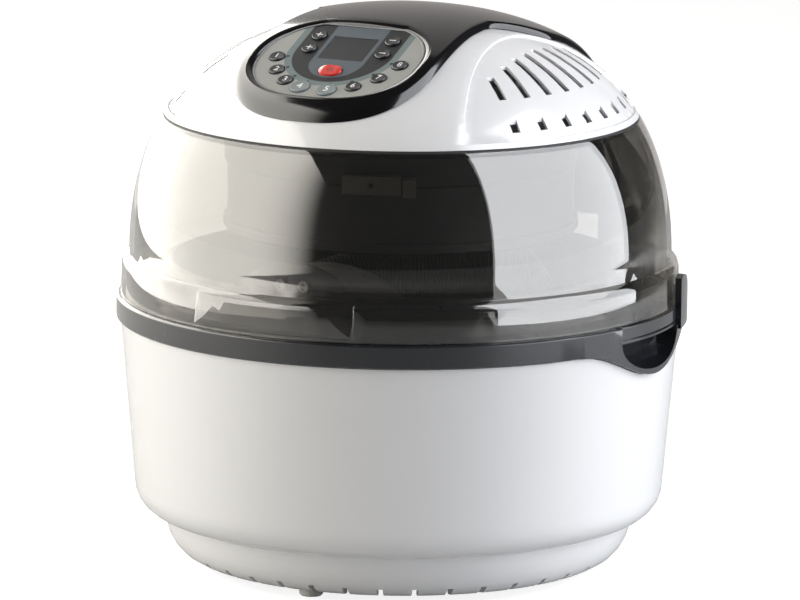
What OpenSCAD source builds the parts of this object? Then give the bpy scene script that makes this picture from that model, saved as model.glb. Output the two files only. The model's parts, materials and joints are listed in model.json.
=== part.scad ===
// Counter-top halogen oven with a rotating drum and a lid hinged at the rear.
// Millimetres, Z up. The front faces -Y, and azimuths are counted from the front towards +X.

/* [Footprint] */
// How far the pot's upright axis lies in front of the middle of the footprint
axis_forward = 12; // [9:0.5:15]
// Height of the feet
foot_h = 5; // [3:0.5:8]
// Radius of a foot
foot_r = 7; // [5:0.5:8]
// How far inside the pan's bottom edge the feet stand
foot_inset = 9; // [8.5:0.5:16]

/* [Base pan] */
// How far the pan steps back from the foot of the body
pan_step = 2; // [1.5:0.25:2.5]
// Height of the joint between the pan and the body
pan_top_z = 32; // [30:0.5:34]
// How much the pan widens from its bottom edge to the joint
pan_flare = 19.5; // [17:0.5:20]
// Number of air notches round the bottom edge
notch_count = 40; // [36:2:44]
// Width of an air notch
notch_w = 3.5; // [2.5:0.25:4.5]
// Height of an air notch
notch_h = 6; // [5:0.25:6.5]

/* [Body shell] */
// Radius of the body at its top edge
body_r = 166; // [160:0.5:172]
// Height of the body's top edge
body_top_z = 148; // [146:0.5:149]
// How much narrower the straight side is at the bottom
body_taper = 8.5; // [7:0.5:10]
// Height of the rounded lower corner
body_corner_h = 17.5; // [15:0.5:20]
// Width of the rounded lower corner
body_corner_w = 16; // [14:0.5:17]
// Wall of the moulded shells
shell_wall = 2.5; // [2:0.1:2.8]

/* [Rim ring] */
// How far the dark ring stands out from the top of the body
ring_proud = 2.5; // [2:0.25:3.5]
// Height of the ring's outer face
ring_h = 14; // [13:0.5:15]
// How far inside the body's top edge the collar that carries the pot stands
collar_inset = 24.5; // [23.5:0.25:25]
// Height of the collar above the ring's deck
collar_h = 16; // [14:0.5:17]
// How far the finger scoop dips below the ring
scoop_drop = 18.5; // [15:0.5:20]
// Half the width of the finger scoop
scoop_half_w = 70; // [66:1:72]
// Half the angle that the release bar spans
release_half_angle = 12.7; // [11:0.1:13]
// Stroke of the release bar
release_stroke = 4; // [3:0.25:4.5]

/* [Pot and drum] */
// Room between the collar and the pot's wall
pot_gap = 5.5; // [4.5:0.25:6.5]
// Height of the pot's underside
pot_floor_z = 45; // [43.5:0.5:46]
// Height of the pot's top edge above the collar
pot_rise = 5; // [4:0.5:7]
// Sheet of the pot
pot_wall = 1.7; // [1.2:0.1:2]
// Room below the drum
drum_floor_gap = 3.2; // [2.4:0.1:8]
// Room between the drum and the heater's guard
drum_guard_gap = 9.4; // [8.6:0.1:14]
// Half the length of the drum
drum_half_len = 84; // [76:1:86]
// Sheet of the drum
drum_sheet = 1.2; // [0.8:0.1:1.6]
// Diameter of the drum's perforations
drum_hole = 8; // [6:0.5:9]
// Rows of perforations along the drum
drum_hole_rows = 7; // [5:1:8]
// Perforations round the drum
drum_holes_round = 20; // [16:2:22]
// Radius of the drum's stub axle and of its drive shaft
axle_r = 4; // [3.5:0.25:4.5]

/* [Lid] */
// How far the dome steps back from the body's top edge where it meets the skirt
dome_inset = 5; // [4.5:0.25:5.5]
// Height of the lid's skirt above the ring
skirt_rise = 24; // [23.5:0.25:26]
// Height of the window's dome above its skirt
window_rise = 84; // [82:0.5:86]
// Height of the crown above the window
crown_rise = 59.5; // [58:0.5:62]
// How far the dome's side stays upright
dome_side_pull = 88; // [84:1:91]
// How much smaller the level top of the dome's curve is than its base
dome_top_inset = 46; // [43:1:49]
// Wall of the window and of the crown
dome_wall = 3; // [2.6:0.1:3.2]
// Half the angle of the raised pull at the front of the skirt
pull_half_angle = 17.8; // [15:0.2:20]
// How far the pull stands out
pull_out = 3; // [2:0.25:3.5]
// How far the slanted facet at each end of the pull is turned out of its face
pull_facet_turn = 4.3; // [3:0.1:6]
// How far that facet leans back
pull_facet_lean = 8.5; // [6:0.25:10]

/* [Crown vents] */
// Number of vents in each row of a wing
vent_count = 9; // [7:2:9]
// Angle from one vent to the next
vent_pitch = 8.33; // [7.5:0.1:8.5]
// Width of the long vents
vent_w = 5; // [4:0.25:5.5]
// How deep a wing lies below the crown
wing_depth = 1.2; // [0.8:0.1:1.4]

/* [Console] */
// Half the width of the console at the panel
console_half_w = 62; // [60:0.5:64]
// Half the width of the console's waist
waist_half_w = 57; // [55:0.5:59]
// Half the width of the console at the rear
spine_half_w = 80; // [78.5:0.5:82]
// How far the console stands above the crown
console_rise = 4; // [3.5:0.25:4.5]
// Tilt of the control panel
panel_tilt = 24.3; // [23.5:0.1:25]
// Half the width of the fascia
fascia_half_w = 51; // [50:0.5:52]
// Half the length of the fascia's oval
fascia_half_l = 41.7; // [41:0.25:42.5]
// Sheet of the fascia
fascia_t = 2; // [1.6:0.1:2.2]
// Radius of the row of preset keys
preset_ring_r = 41; // [40.5:0.25:41.5]
// Radius of a small key
key_r = 4.7; // [4.2:0.1:4.9]
// Radius of the two middle preset keys
big_key_r = 5.9; // [5.5:0.1:6.1]
// Travel of a key
key_travel = 0.8; // [0.5:0.1:1]
// Width of the display
display_w = 28.6; // [27:0.2:29]
// Length of the display
display_l = 23.7; // [22:0.2:24]

/* [Heater and fans] */
// Radius of the heater housing
housing_r = 102.8; // [100:0.2:104]
// Height of the heater housing below the joint between window and crown
housing_h = 64; // [62:0.5:66]
// Radius of the heating tube's ring
tube_ring_r = 70; // [64:1:74]
// Radius of the heating tube
tube_r = 5.5; // [4.5:0.25:6]
// Radius of the hot-air fan
hot_fan_r = 56; // [50:1:60]
// Radius of the motor's cooling fan
cool_fan_r = 40; // [34:1:41]
// Number of blades of either fan
blade_count = 8; // [6:1:10]
// Radius of the fan shaft
fan_shaft_r = 3; // [2.5:0.25:3.5]

/* [Hinge] */
// How far the hinge pin lies behind the ring
pin_reach = 11.5; // [11:0.25:13]
// Height of the hinge pin above the ring
pin_rise = 34; // [33:0.25:36]
// Radius of the hinge pin
pin_r = 4; // [3.5:0.25:4.5]
// Radius of the hinge ears
ear_r = 13; // [12:0.25:13.5]
// Half the width over both hinge ears
ears_half_w = 78; // [76:0.5:80]
// Width of one hinge ear
ear_w = 28; // [24:0.5:30]

/* [Fits] */
// Radial clearance of a shaft in its bearing
running_gap = 0.05; // [0.02:0.01:0.09]
// Clearance between pieces that only sit in each other
seat_gap = 0.3; // [0.2:0.05:0.4]

/* [Hidden] */

$fn = 96;
over = 1;            // how far a cutter runs past the face that it cuts
white = "white";
dark_grey = "#3f4145";
gloss_black = "#111214";
steel = "#b9bcc0";

// Body heights and radii
rear_foot_azimuth = 140;
foot_azimuths = [0, rear_foot_azimuth, 360 - rear_foot_azimuth];
floor_t = 2.5;
pan_floor_z = foot_h + notch_h + 1;
body_low_r = body_r - body_taper;
body_foot_r = body_low_r - body_corner_w;
pan_joint_r = body_foot_r - pan_step;
pan_r = pan_joint_r - pan_flare;
pan_post_r = pan_r - 8;
foot_spread = pan_r - foot_inset;
floor_low_r = pan_r + 9;
floor_high_r = pan_r + 11;
pan_post_azimuths = [40, 100, 180, 260, 320];
screw_r = 1.9;
screw_head_r = 3.9;
screw_head_h = 2.5;
screw_seat_z = pan_floor_z + 5;
boss_top_z = pan_top_z + 9;
ring_r = body_r + ring_proud;
collar_r = body_r - collar_inset;
deck_z = body_top_z + ring_h;
deck_t = 3;
ring_wall = 3;
collar_wall = 3;
collar_top_z = deck_z + collar_h;
collar_out_r = collar_r + collar_wall;
far = 2 * body_r;    // length of a cutter that leaves the part

// Heights of the lid and of what hangs in it, and the drum that fits below them
dome_base_z = deck_z + skirt_rise;
seam_z = dome_base_z + window_rise;
dome_top_z = seam_z + crown_rise;
pin_z = deck_z + pin_rise;
housing_low_z = seam_z - housing_h;
guard_z = housing_low_z - 3.5;
pot_top_z = collar_top_z + pot_rise;
disc_rim = 1;
drum_low_z = pot_floor_z + pot_wall + drum_floor_gap;
drum_z = (drum_low_z + guard_z - drum_guard_gap) / 2;
drum_r = drum_z - drum_low_z - disc_rim;

// Finger scoop, the pocket in it, the release bar and the horn behind it
bar_in_r = ring_r - 10;
bar_low_z = body_top_z + 3.8;
pocket_half_w = ring_r * sin(release_half_angle) + 1;
pocket_x = ring_r + release_stroke + 3;
pocket_r = 27;
horn_rise = 19;
horn_len = 34;
catch_reach = 4.6;
catch_half_w = 4;
catch_h = 2;
catch_z = deck_z + 1.2;
latch_gap = 0.9;
tongue_t = 2.2;
tongue_half_w = 5;
tongue_root_z = deck_z - 2.2;
tongue_top_z = catch_z + catch_h + 1.2;

// Pot, shield and drum
shield_t = 1.2;
shield_r = collar_r - seat_gap;
shield_corner_w = 20;
shield_corner_h = 18;
pot_r = collar_r - pot_gap;
shield_floor_z = boss_top_z;
pot_flange_r = collar_out_r - 0.5;
pot_corner = 12;
ear_disc_r = 48;
ear_top_z = pot_top_z + 19;
ear_screw_z = pot_top_z + 5;
ear_screw_x = 7.5;
hanger_half_w = 15;
hanger_t = 2;
hanger_y = sqrt(pow(pot_r - pot_wall, 2) - pow(hanger_half_w, 2)) - seat_gap;
bush_r = 9;
bush_len = 8;
disc_t = 1.5;
drum_margin = 8;
motor_r = 24;
motor_y0 = shield_r + 1.5;
motor_len = body_low_r - shell_wall + body_taper / 2 - motor_y0 - 1;

// Lid skirt and dome, in steps of a curve from the side to the top
dome_r = body_r - dome_inset;
skirt_low_z = deck_z + 0.4;
skirt_r = body_r - 0.2;
skirt_top_z = dome_base_z - 2.5;
curve_steps = 28;
dome_handles = [[dome_r, dome_base_z], [dome_r, dome_base_z + dome_side_pull],
    [dome_r - dome_top_inset, dome_top_z], [0, dome_top_z]];
seam_gap = 1.4;
lip_t = 3;
seam_r = dome_radius(seam_z);
lip_r = seam_r - 10.35;
plate_r = lip_r + 1.7;
flange_r = lip_r - 8;
vent_low_r = lip_r - 12;
small_vent_r = lip_r - 1.7;
small_vent_size = 5.5;

// Heater housing, fans and motor, hung below and above the divider plate
plate_z = seam_z - seam_gap;
housing_wall = 1.2;
housing_step_z = seam_z - 28;
guard_wire = 1.2;
tube_z = housing_low_z + 15;
reflector_z = plate_z - 5;
// Sensor bracket and the block beside it: azimuths, height of the lower edge and depth of each
sensor_parts = [[9, 27, housing_step_z - 3, 6], [27.6, 31.5, housing_step_z - 4, 7]];
sensor_h = 11;
fan_z = housing_low_z + 28;
fan_h = 13;
motor_body_r = 30;
motor_top_z = dome_top_z - 30.5;
cool_fan_z = motor_top_z + 5;
cool_fan_h = 9;
blade_t = 1.2;
blade_inset = 0.5;

// Console and panel, in a frame whose origin is the display's centre
panel_y = 71.35 - seam_r;
panel_z = dome_top_z - 12.5;
oval_power = 2.25;
fascia_mid_y = -13.2;
fascia_back_y = 24;
tub_wall = 2.5;
tub_depth = 13;
board_t = 1.6;
pad_t = 1.5;
key_flange = 0.8;
key_flange_t = 0.9;
stem_low = -(fascia_t + key_flange_t + 0.1 + 1.2);
pad_top = stem_low - key_travel - 0.05;
board_top = pad_top - pad_t;
key_proud = 1.1;
preset_angles = [195, 216, 236, 255, 280, 302, 324, 347];
preset_mid_y = -4;
side_key_x = 24;
side_key_ys = [11, -3];
power_y = -24.5;
power_half_w = 7.1;
power_half_l = 4.9;

// Hinge
pin_y = ring_r + pin_reach;
hinge_front_y = sqrt(pow(ring_r, 2) - pow(ears_half_w, 2)) - 9;
hinge_rear_y = pin_y + ear_r;
hinge_screw_azimuths = [168, 192];
hinge_screw_z = body_top_z + 6;
knuckle_r = 11;
knuckle_half_w = ears_half_w - ear_w - 0.5;
knuckle_bore_r = 8;
cover_gap = 0.6;
cover_top_z = seam_z - 18;
spring_wire_r = 1.1;
spring_turns = 8;
spring_sides = 6;
spring_rings = 12;
spring_half_w = knuckle_half_w - 12;
spring_mid_r = pin_r + spring_wire_r + 0.4;

// Cord gland
gland_r = 8;
gland_z = 62;

// The same rounded corner of a shell, seen in section
function corner(r, z, dr, dz, steps = 6) =
    [for (i = [0:steps]) [r + dr * sin(90 * i / steps), z + dz * (1 - cos(90 * i / steps))]];
function reversed(list) = [for (i = [len(list) - 1:-1:0]) list[i]];

// Dome section: a cubic curve through its four handles, moved outwards by off
function blend4(h, t) = pow(1 - t, 3) * h[0] + 3 * pow(1 - t, 2) * t * h[1]
    + 3 * (1 - t) * t * t * h[2] + t * t * t * h[3];
function slope4(h, t) = pow(1 - t, 2) * (h[1] - h[0]) + 2 * (1 - t) * t * (h[2] - h[1])
    + t * t * (h[3] - h[2]);
function outward(d) = [d[1], -d[0]] / norm(d);
function dome_point(t, off) = blend4(dome_handles, t) + off * outward(slope4(dome_handles, t));
function dome_line(off) = [for (i = [0:curve_steps]) dome_point(i / curve_steps, off)];
function dome_radius(z) = lookup(z, [for (p = dome_line(0)) [p[1], p[0]]]);

// Console outline seen from above: half its width at a distance y behind the pot's axis
nose_y = 9.05 - seam_r;
nose_wide_y = nose_y + 51.3;
waist_y0 = nose_y + 129.3;
waist_y1 = nose_y + 171.3;
function ease(u) = 0.5 - 0.5 * cos(180 * u);
function nose_half_w(y) = console_half_w
    * pow(max(0, 1 - pow((nose_wide_y - y) / (nose_wide_y - nose_y), 2.2)), 1 / 2.2);
function console_half(y) = y < nose_wide_y ? nose_half_w(y)
    : y < waist_y0 ? console_half_w + (waist_half_w - console_half_w)
        * ease((y - nose_wide_y) / (waist_y0 - nose_wide_y))
    : y < waist_y1 ? waist_half_w + (spine_half_w - waist_half_w)
        * ease((y - waist_y0) / (waist_y1 - waist_y0))
    : spine_half_w;
nose_ys = [for (i = [0:9]) nose_y + (nose_wide_y - nose_y) * (1 - cos(10 * i))];
side_ys = concat([for (i = [0:6]) nose_wide_y + (waist_y0 - nose_wide_y) * i / 6],
    [for (i = [1:8]) waist_y0 + (waist_y1 - waist_y0) * i / 8], [far]);
outline_ys = concat(nose_ys, side_ys);

// Wing outline seen from above: its inner edge at a distance y behind the pot's axis
wing_near = 69.5;
function wing_edge(y) = wing_near + (y < 0 ? 0.0021 : 0.0085) * y * y;

// Scoop outline seen from the side: its lower edge at a distance y from its middle
function scoop_low(y, drop, half) = body_top_z - drop * (0.5 + 0.5 * cos(180 * y / half));

module on_axis() {
    translate([0, -axis_forward, 0]) children();
}

module at_azimuth(a) {
    rotate([0, 0, a - 90]) children();
}

module on_panel() {
    on_axis() translate([0, panel_y, panel_z]) rotate([panel_tilt, 0, 0]) children();
}

// A disc or rod lying along Y, from y0 to y1, with its axis at height z
module rod_y(r, y0, y1, z) {
    translate([0, y0, z]) rotate([-90, 0, 0]) cylinder(r = r, h = y1 - y0);
}

// A rod lying along X on the hinge axis
module hinge_rod(r, x0, x1) {
    translate([x0, pin_y, pin_z]) rotate([0, 90, 0]) cylinder(r = r, h = x1 - x0);
}

module screw(head_r, head_h, shank_r, length) {
    cylinder(r = head_r, h = head_h);
    cylinder(r = shank_r, h = length);
}

// ---- Base and body ----

// Pan section: a wall of even thickness with a lip at its foot and a raised floor
module pan_section() {
    rise = pan_top_z - foot_h;
    outer = corner(pan_r, foot_h, pan_flare, rise);
    inner = [for (a = [0:15:90]) let (n = [-rise * sin(a), pan_flare * cos(a)])
        [pan_r + pan_flare * sin(a), foot_h + rise * (1 - cos(a))] + shell_wall * n / norm(n)];
    polygon(concat(outer, reversed([for (p = inner) if (p[1] > pan_floor_z + floor_t) p]),
        [[floor_high_r, pan_floor_z + floor_t], [0, pan_floor_z + floor_t], [0, pan_floor_z],
        [floor_low_r, pan_floor_z]],
        reversed([for (p = inner) if (p[1] < pan_floor_z) p]),
        [[pan_r - shell_wall, foot_h + shell_wall], [pan_r - shell_wall, foot_h]]));
}

module base_pan() {
    color(white) on_axis() difference() {
        union() {
            rotate_extrude() pan_section();
            for (a = pan_post_azimuths)
                at_azimuth(a) translate([pan_post_r, 0, pan_floor_z])
                    cylinder(r = 5.5, h = pan_top_z - pan_floor_z);
            for (a = foot_azimuths)
                at_azimuth(a) translate([foot_spread, 0, foot_h])
                    cylinder(r = foot_r - 1, h = pan_floor_z - foot_h + over);
        }
        for (a = pan_post_azimuths)
            at_azimuth(a) translate([pan_post_r, 0, 0]) {
                cylinder(r = screw_r + seat_gap, h = pan_top_z + over);
                cylinder(r = screw_head_r + seat_gap, h = screw_seat_z);
            }
        for (i = [0:notch_count - 1])
            at_azimuth((i + 0.5) * 360 / notch_count) notch();
    }
}

module notch() {
    translate([pan_r - shell_wall - over, -notch_w / 2, foot_h - over])
        cube([pan_flare, notch_w, notch_h + over]);
}

module feet() {
    color("#d9d9d6") on_axis() for (a = foot_azimuths)
        at_azimuth(a) translate([foot_spread, 0, 0]) rotate_extrude()
            polygon([[0, 0.8], [foot_r - 3, 0.8], [foot_r - 3, 0], [foot_r - 1, 0],
                [foot_r, 1], [foot_r, foot_h], [0, foot_h]]);
}

module base_screws() {
    color(steel) on_axis() for (a = pan_post_azimuths)
        at_azimuth(a) translate([pan_post_r, 0, screw_seat_z - screw_head_h])
            difference() {
                screw(screw_head_r, screw_head_h, screw_r, boss_top_z - 2 - screw_seat_z + screw_head_h);
                cross_recess(screw_head_r);
            }
}

// Cross cut into a screw's head, which faces -Z
module cross_recess(head_r) {
    for (a = [0, 90])
        rotate([0, 0, a]) translate([-head_r * 0.6, -0.4, -over])
            cube([head_r * 1.2, 0.8, over + 1.2]);
}

module body_section() {
    inner_corner = corner(body_foot_r - shell_wall, pan_top_z + floor_t, body_corner_w,
        body_corner_h);
    polygon(concat([[pan_post_r - 8, pan_top_z]],
        corner(body_foot_r, pan_top_z, body_corner_w, body_corner_h),
        [[body_r, body_top_z], [body_r - shell_wall, body_top_z]],
        reversed(inner_corner), [[pan_post_r - 8, pan_top_z + floor_t]]));
}

module body_shell() {
    color(white) on_axis() difference() {
        union() {
            rotate_extrude() body_section();
            for (a = pan_post_azimuths)
                at_azimuth(a) translate([pan_post_r, 0, pan_top_z])
                    cylinder(r = 5.5, h = boss_top_z - pan_top_z);
        }
        for (a = pan_post_azimuths)
            at_azimuth(a) translate([pan_post_r, 0, pan_top_z - over])
                cylinder(r = screw_r + running_gap, h = boss_top_z - 1 - pan_top_z + over);
        translate([body_low_r - 22, 0, 0]) rotate([90, 0, 90])
            linear_extrude(50) scoop_outline(seat_gap);
        rod_y(gland_r, body_low_r - 15, body_r, gland_z);
    }
}

// Side view of the scoop: y runs to the rear, z up; grown by gap on every side
module scoop_outline(gap) {
    half = scoop_half_w;
    polygon(concat(
        [for (i = [-12:12]) let (y = i * half / 12) [y, scoop_low(y, scoop_drop, half) - gap]],
        [[half, deck_z + over], [-half, deck_z + over]]));
}

// Side view of the pocket in the scoop, a half ellipse below the release bar
module pocket_outline(half, low_z, top_z) {
    mid_z = body_top_z + 4;
    polygon(concat([for (i = [0:16])
        [-half * cos(i * 180 / 16), mid_z - (mid_z - low_z) * sin(i * 180 / 16)]],
        [[half, top_z], [-half, top_z]]));
}

// ---- Rim ring with its finger scoop ----

module ring_section() {
    polygon([[collar_r, body_top_z], [collar_r, collar_top_z], [collar_out_r, collar_top_z],
        [collar_out_r, deck_z], [ring_r - 1, deck_z], [ring_r, deck_z - 1],
        [ring_r, body_top_z + 1], [ring_r - 1, body_top_z], [ring_r - ring_wall, body_top_z],
        [ring_r - ring_wall, deck_z - deck_t], [collar_out_r, deck_z - deck_t],
        [collar_out_r, body_top_z]]);
}

module rim_ring() {
    color(dark_grey) on_axis() difference() {
        union() {
            rotate_extrude() ring_section();
            intersection() {
                rotate_extrude() translate([ring_r - 22, body_top_z - scoop_drop - over])
                    square([22, deck_z - body_top_z + scoop_drop]);
                translate([100, 0, 0]) rotate([90, 0, 90])
                    linear_extrude(100) scoop_outline(0);
            }
            intersection() {
                rotate_extrude() translate([ring_r - 1.8, body_top_z])
                    square([4, deck_z + horn_rise - body_top_z]);
                translate([100, 0, 0]) rotate([90, 0, 90])
                    linear_extrude(100) horn_outline();
            }
        }
        intersection() {
            translate([100, 0, 0]) rotate([90, 0, 90]) linear_extrude(100)
                pocket_outline(pocket_half_w, body_top_z - scoop_drop + 3.5, deck_z + over);
            translate([pocket_x, -60, body_top_z + 10]) rotate([-90, 0, 0])
                cylinder(r = pocket_r, h = 120);
        }
        for (a = hinge_screw_azimuths)
            at_azimuth(a) translate([ring_r - 8, 0, hinge_screw_z]) rotate([0, 90, 0])
                cylinder(r = screw_r + running_gap, h = 12);
    }
}

// Side view of the horn that rises behind the release bar
module horn_outline() {
    y0 = pocket_half_w;
    polygon(concat([[y0, body_top_z + 1], [y0, deck_z + horn_rise - 2]],
        [for (i = [1:9]) [y0 + horn_len * sin(i * 10), deck_z + horn_rise * cos(i * 10)]],
        [[y0 + horn_len, body_top_z + 1]]));
}

module release_bar() {
    tongue_x = skirt_r - dome_wall - catch_reach - latch_gap - tongue_t;
    color(dark_grey) on_axis() difference() {
        union() {
            intersection() {
                rotate_extrude() translate([bar_in_r, bar_low_z])
                    square([ring_r - 0.7 - bar_in_r, ring_h - 4]);
                translate([0, -pocket_half_w + 0.5, 0]) cube([far, 2 * pocket_half_w - 1, far]);
            }
            // latch tongue that reaches up beside the window's catch, and its root
            translate([tongue_x, -tongue_half_w, tongue_root_z])
                cube([tongue_t, 2 * tongue_half_w, tongue_top_z - tongue_root_z]);
            translate([tongue_x, -tongue_half_w, tongue_root_z])
                cube([bar_in_r + 1 - tongue_x, 2 * tongue_half_w, 2]);
        }
        // grip groove along the face
        rotate_extrude() translate([ring_r - 1.3, body_top_z + 5.5]) square([3, 0.8]);
    }
}

// ---- Heat shield, pot and its hangers ----

module heat_shield() {
    color(steel) on_axis() difference() {
        rotate_extrude() polygon(concat([[30, shield_floor_z]],
            corner(shield_r - shield_corner_w, shield_floor_z, shield_corner_w, shield_corner_h),
            [[shield_r, collar_top_z - 2], [shield_r - shield_t, collar_top_z - 2]],
            reversed(corner(shield_r - shield_corner_w - shield_t, shield_floor_z + shield_t,
                shield_corner_w, shield_corner_h)),
            [[30, shield_floor_z + shield_t]]));
        rod_y(axle_r + 3, 0, far, drum_z);
    }
}

module inner_pot() {
    inner_r = pot_r - pot_wall;
    color("#2a2b2d") on_axis() difference() {
        union() {
            rotate_extrude() polygon(concat([[0, pot_floor_z]],
                corner(pot_r - pot_corner, pot_floor_z, pot_corner, pot_corner),
                [[pot_r, collar_top_z], [pot_flange_r, collar_top_z],
                [pot_flange_r, collar_top_z + pot_wall], [pot_r + 1.2, collar_top_z + pot_wall + 1],
                [pot_r + 1.2, pot_top_z - 0.6], [pot_r + 0.6, pot_top_z],
                [inner_r, pot_top_z]],
                reversed(corner(inner_r - pot_corner, pot_floor_z + pot_wall, pot_corner, pot_corner)),
                [[0, pot_floor_z + pot_wall]]));
            intersection() {
                rotate_extrude() translate([inner_r, pot_top_z - 3]) square([pot_wall, 40]);
                rod_y(ear_disc_r, -far, far, ear_top_z - ear_disc_r);
            }
        }
        rod_y(axle_r + 3, 0, far, drum_z);
        for (x = [-ear_screw_x, ear_screw_x])
            translate([x, 0, 0]) rod_y(screw_r + 0.1, -far, far, ear_screw_z);
    }
}

module hanger() {
    difference() {
        union() {
            translate([-hanger_half_w, -hanger_y, drum_z])
                cube([2 * hanger_half_w, hanger_t, ear_top_z - 6 - drum_z]);
            rod_y(hanger_half_w, -hanger_y, -hanger_y + hanger_t, drum_z);
            rod_y(bush_r, -hanger_y, -hanger_y + bush_len, drum_z);
        }
        rod_y(axle_r + running_gap, -hanger_y - over, -hanger_y + bush_len + over, drum_z);
        for (x = [-ear_screw_x, ear_screw_x])
            translate([x, 0, 0])
                rod_y(screw_r + running_gap, -hanger_y - over, -hanger_y + hanger_t + over, ear_screw_z);
        // weight-saving window in the strap
        translate([-7, -hanger_y - over, drum_z + 20]) cube([14, hanger_t + 2 * over, 28]);
    }
}

module bearing_hangers() {
    color(steel) on_axis() {
        hanger();
        rotate([0, 0, 180]) hanger();
    }
}

module ear_screws() {
    color(steel) on_axis() for (turn = [0, 180], x = [-ear_screw_x, ear_screw_x])
        rotate([0, 0, turn]) translate([x, -pot_r - 2, ear_screw_z]) rotate([-90, 0, 0])
            difference() {
                screw(3.4, 2, screw_r, pot_r + 2 - hanger_y + hanger_t + 1);
                cross_recess(3.4);
            }
}

// ---- Drum and its drive ----

module drum_wall() {
    inner_r = drum_r - drum_sheet;
    pitch = 2 * (drum_half_len - drum_margin) / drum_hole_rows;
    color("#8d8f92") on_axis() translate([0, -drum_half_len, drum_z]) difference() {
        rotate([-90, 0, 0]) rotate_extrude()
            translate([inner_r, 0]) square([drum_sheet, 2 * drum_half_len]);
        for (row = [0:drum_hole_rows - 1], i = [0:drum_holes_round - 1])
            translate([0, drum_margin + (row + 0.5) * pitch, 0])
                rotate([0, (i + (row % 2) / 2) * 360 / drum_holes_round, 0])
                    translate([0, 0, inner_r - 3])
                        cylinder(r = drum_hole / 2, h = drum_sheet + 6, $fn = 24);
    }
}

// End disc with a pressed ring and fold tabs; its outer face looks along -Z here
module end_disc() {
    difference() {
        union() {
            cylinder(r = drum_r + disc_rim, h = disc_t);
            cylinder(r = drum_r - drum_sheet - seat_gap, h = disc_t + 3);
        }
        translate([0, 0, disc_t]) cylinder(r = drum_r - drum_sheet - seat_gap - 1.5, h = 10);
    }
    for (i = [0:11])
        rotate([0, 0, i * 30 + 15]) translate([drum_r - 3, -2, -1.2]) cube([2.8, 4, 1.4]);
    translate([0, 0, -2]) cylinder(r = 12, h = 2.1);
}

module drum_front_disc() {
    color("#77797c") on_axis() translate([0, -drum_half_len - disc_t, drum_z])
        rotate([-90, 0, 0]) {
            end_disc();
            translate([0, 0, -(hanger_y - drum_half_len - disc_t - 1)])
                cylinder(r = axle_r, h = hanger_y - drum_half_len - disc_t);
        }
}

module drum_rear_disc() {
    color("#77797c") on_axis() translate([0, drum_half_len + disc_t, drum_z])
        rotate([90, 0, 0]) difference() {
            end_disc();
            translate([0, 0, -3]) cylinder(r = axle_r + 3.2, h = 3.5 + disc_t, $fn = 6);
        }
}

module drive_shaft() {
    hub_y = drum_half_len - 1;
    color(steel) on_axis() {
        translate([0, hub_y, drum_z]) rotate([-90, 0, 0])
            cylinder(r = axle_r + 3, h = 12, $fn = 6);
        rod_y(axle_r, hub_y + 11, motor_y0 + 10, drum_z);
    }
}

module drive_motor() {
    color("#c9c6bd") on_axis() difference() {
        union() {
            rod_y(motor_r, motor_y0, motor_y0 + motor_len, drum_z);
            translate([-9, motor_y0 + 3, drum_z + motor_r - 3]) cube([18, 12, 8]);
        }
        rod_y(axle_r + running_gap, motor_y0 - over, motor_y0 + 11, drum_z);
    }
}

module motor_bracket() {
    color(steel) on_axis() difference() {
        translate([-36, shield_r + 0.1, drum_z - 10])
            cube([72, motor_y0 - shield_r - 0.1, 20]);
        rod_y(axle_r + 2, shield_r - over, motor_y0 + over, drum_z);
        for (x = [-31, 31])
            translate([x, 0, 0]) rod_y(2.1, shield_r - over, motor_y0 + over, drum_z);
    }
}

// ---- Hinge ----

module hinge_base() {
    color(dark_grey) on_axis() difference() {
        union() {
            translate([-ears_half_w, hinge_front_y, body_top_z - 4])
                cube([2 * ears_half_w, hinge_rear_y - hinge_front_y, ring_h + 4]);
            for (side = [-1, 1])
                translate([side < 0 ? -ears_half_w : ears_half_w - ear_w, 0, 0]) {
                    translate([0, pin_y - ear_r, deck_z - 3])
                        cube([ear_w, 2 * ear_r, pin_z - deck_z + 3]);
                    hinge_rod(ear_r, 0, ear_w);
                }
        }
        translate([0, 0, body_top_z - 20]) cylinder(r = ring_r + seat_gap, h = ring_h + 30);
        hinge_rod(pin_r + running_gap, -ears_half_w - over, ears_half_w + over);
        for (a = hinge_screw_azimuths)
            at_azimuth(a) translate([ring_r, 0, hinge_screw_z]) rotate([0, 90, 0]) {
                cylinder(r = screw_r + 0.2, h = 40);
                translate([0, 0, 8]) cylinder(r = screw_head_r + seat_gap, h = 40);
            }
        // slanted underside that clears the body's side
        translate([-ears_half_w - over, hinge_rear_y - 6, body_top_z - 4]) rotate([-40, 0, 0])
            translate([0, 0, -30]) cube([2 * (ears_half_w + over), 40, 30]);
    }
}

module hinge_pin() {
    color(steel) on_axis() {
        hinge_rod(pin_r, -ears_half_w - 1, ears_half_w + 1);
        for (x = [-ears_half_w - 2.5, ears_half_w + 0.1])
            hinge_rod(pin_r + 2.5, x, x + 2.4);
    }
}

// Wire wound round the hinge pin: rings of points on a helix, joined into one closed tube
function spring_point(i) = let (u = i / (spring_turns * spring_rings))
    [(2 * u - 1) * spring_half_w, spring_mid_r * cos(360 * spring_turns * u),
    spring_mid_r * sin(360 * spring_turns * u)];
function spring_ring(i) = let (p = spring_point(i), a = 360 * i / spring_rings)
    [for (k = [0:spring_sides - 1]) let (b = 360 * k / spring_sides)
        p + spring_wire_r * (cos(b) * [1, 0, 0] + sin(b) * [0, cos(a), sin(a)])];

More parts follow.
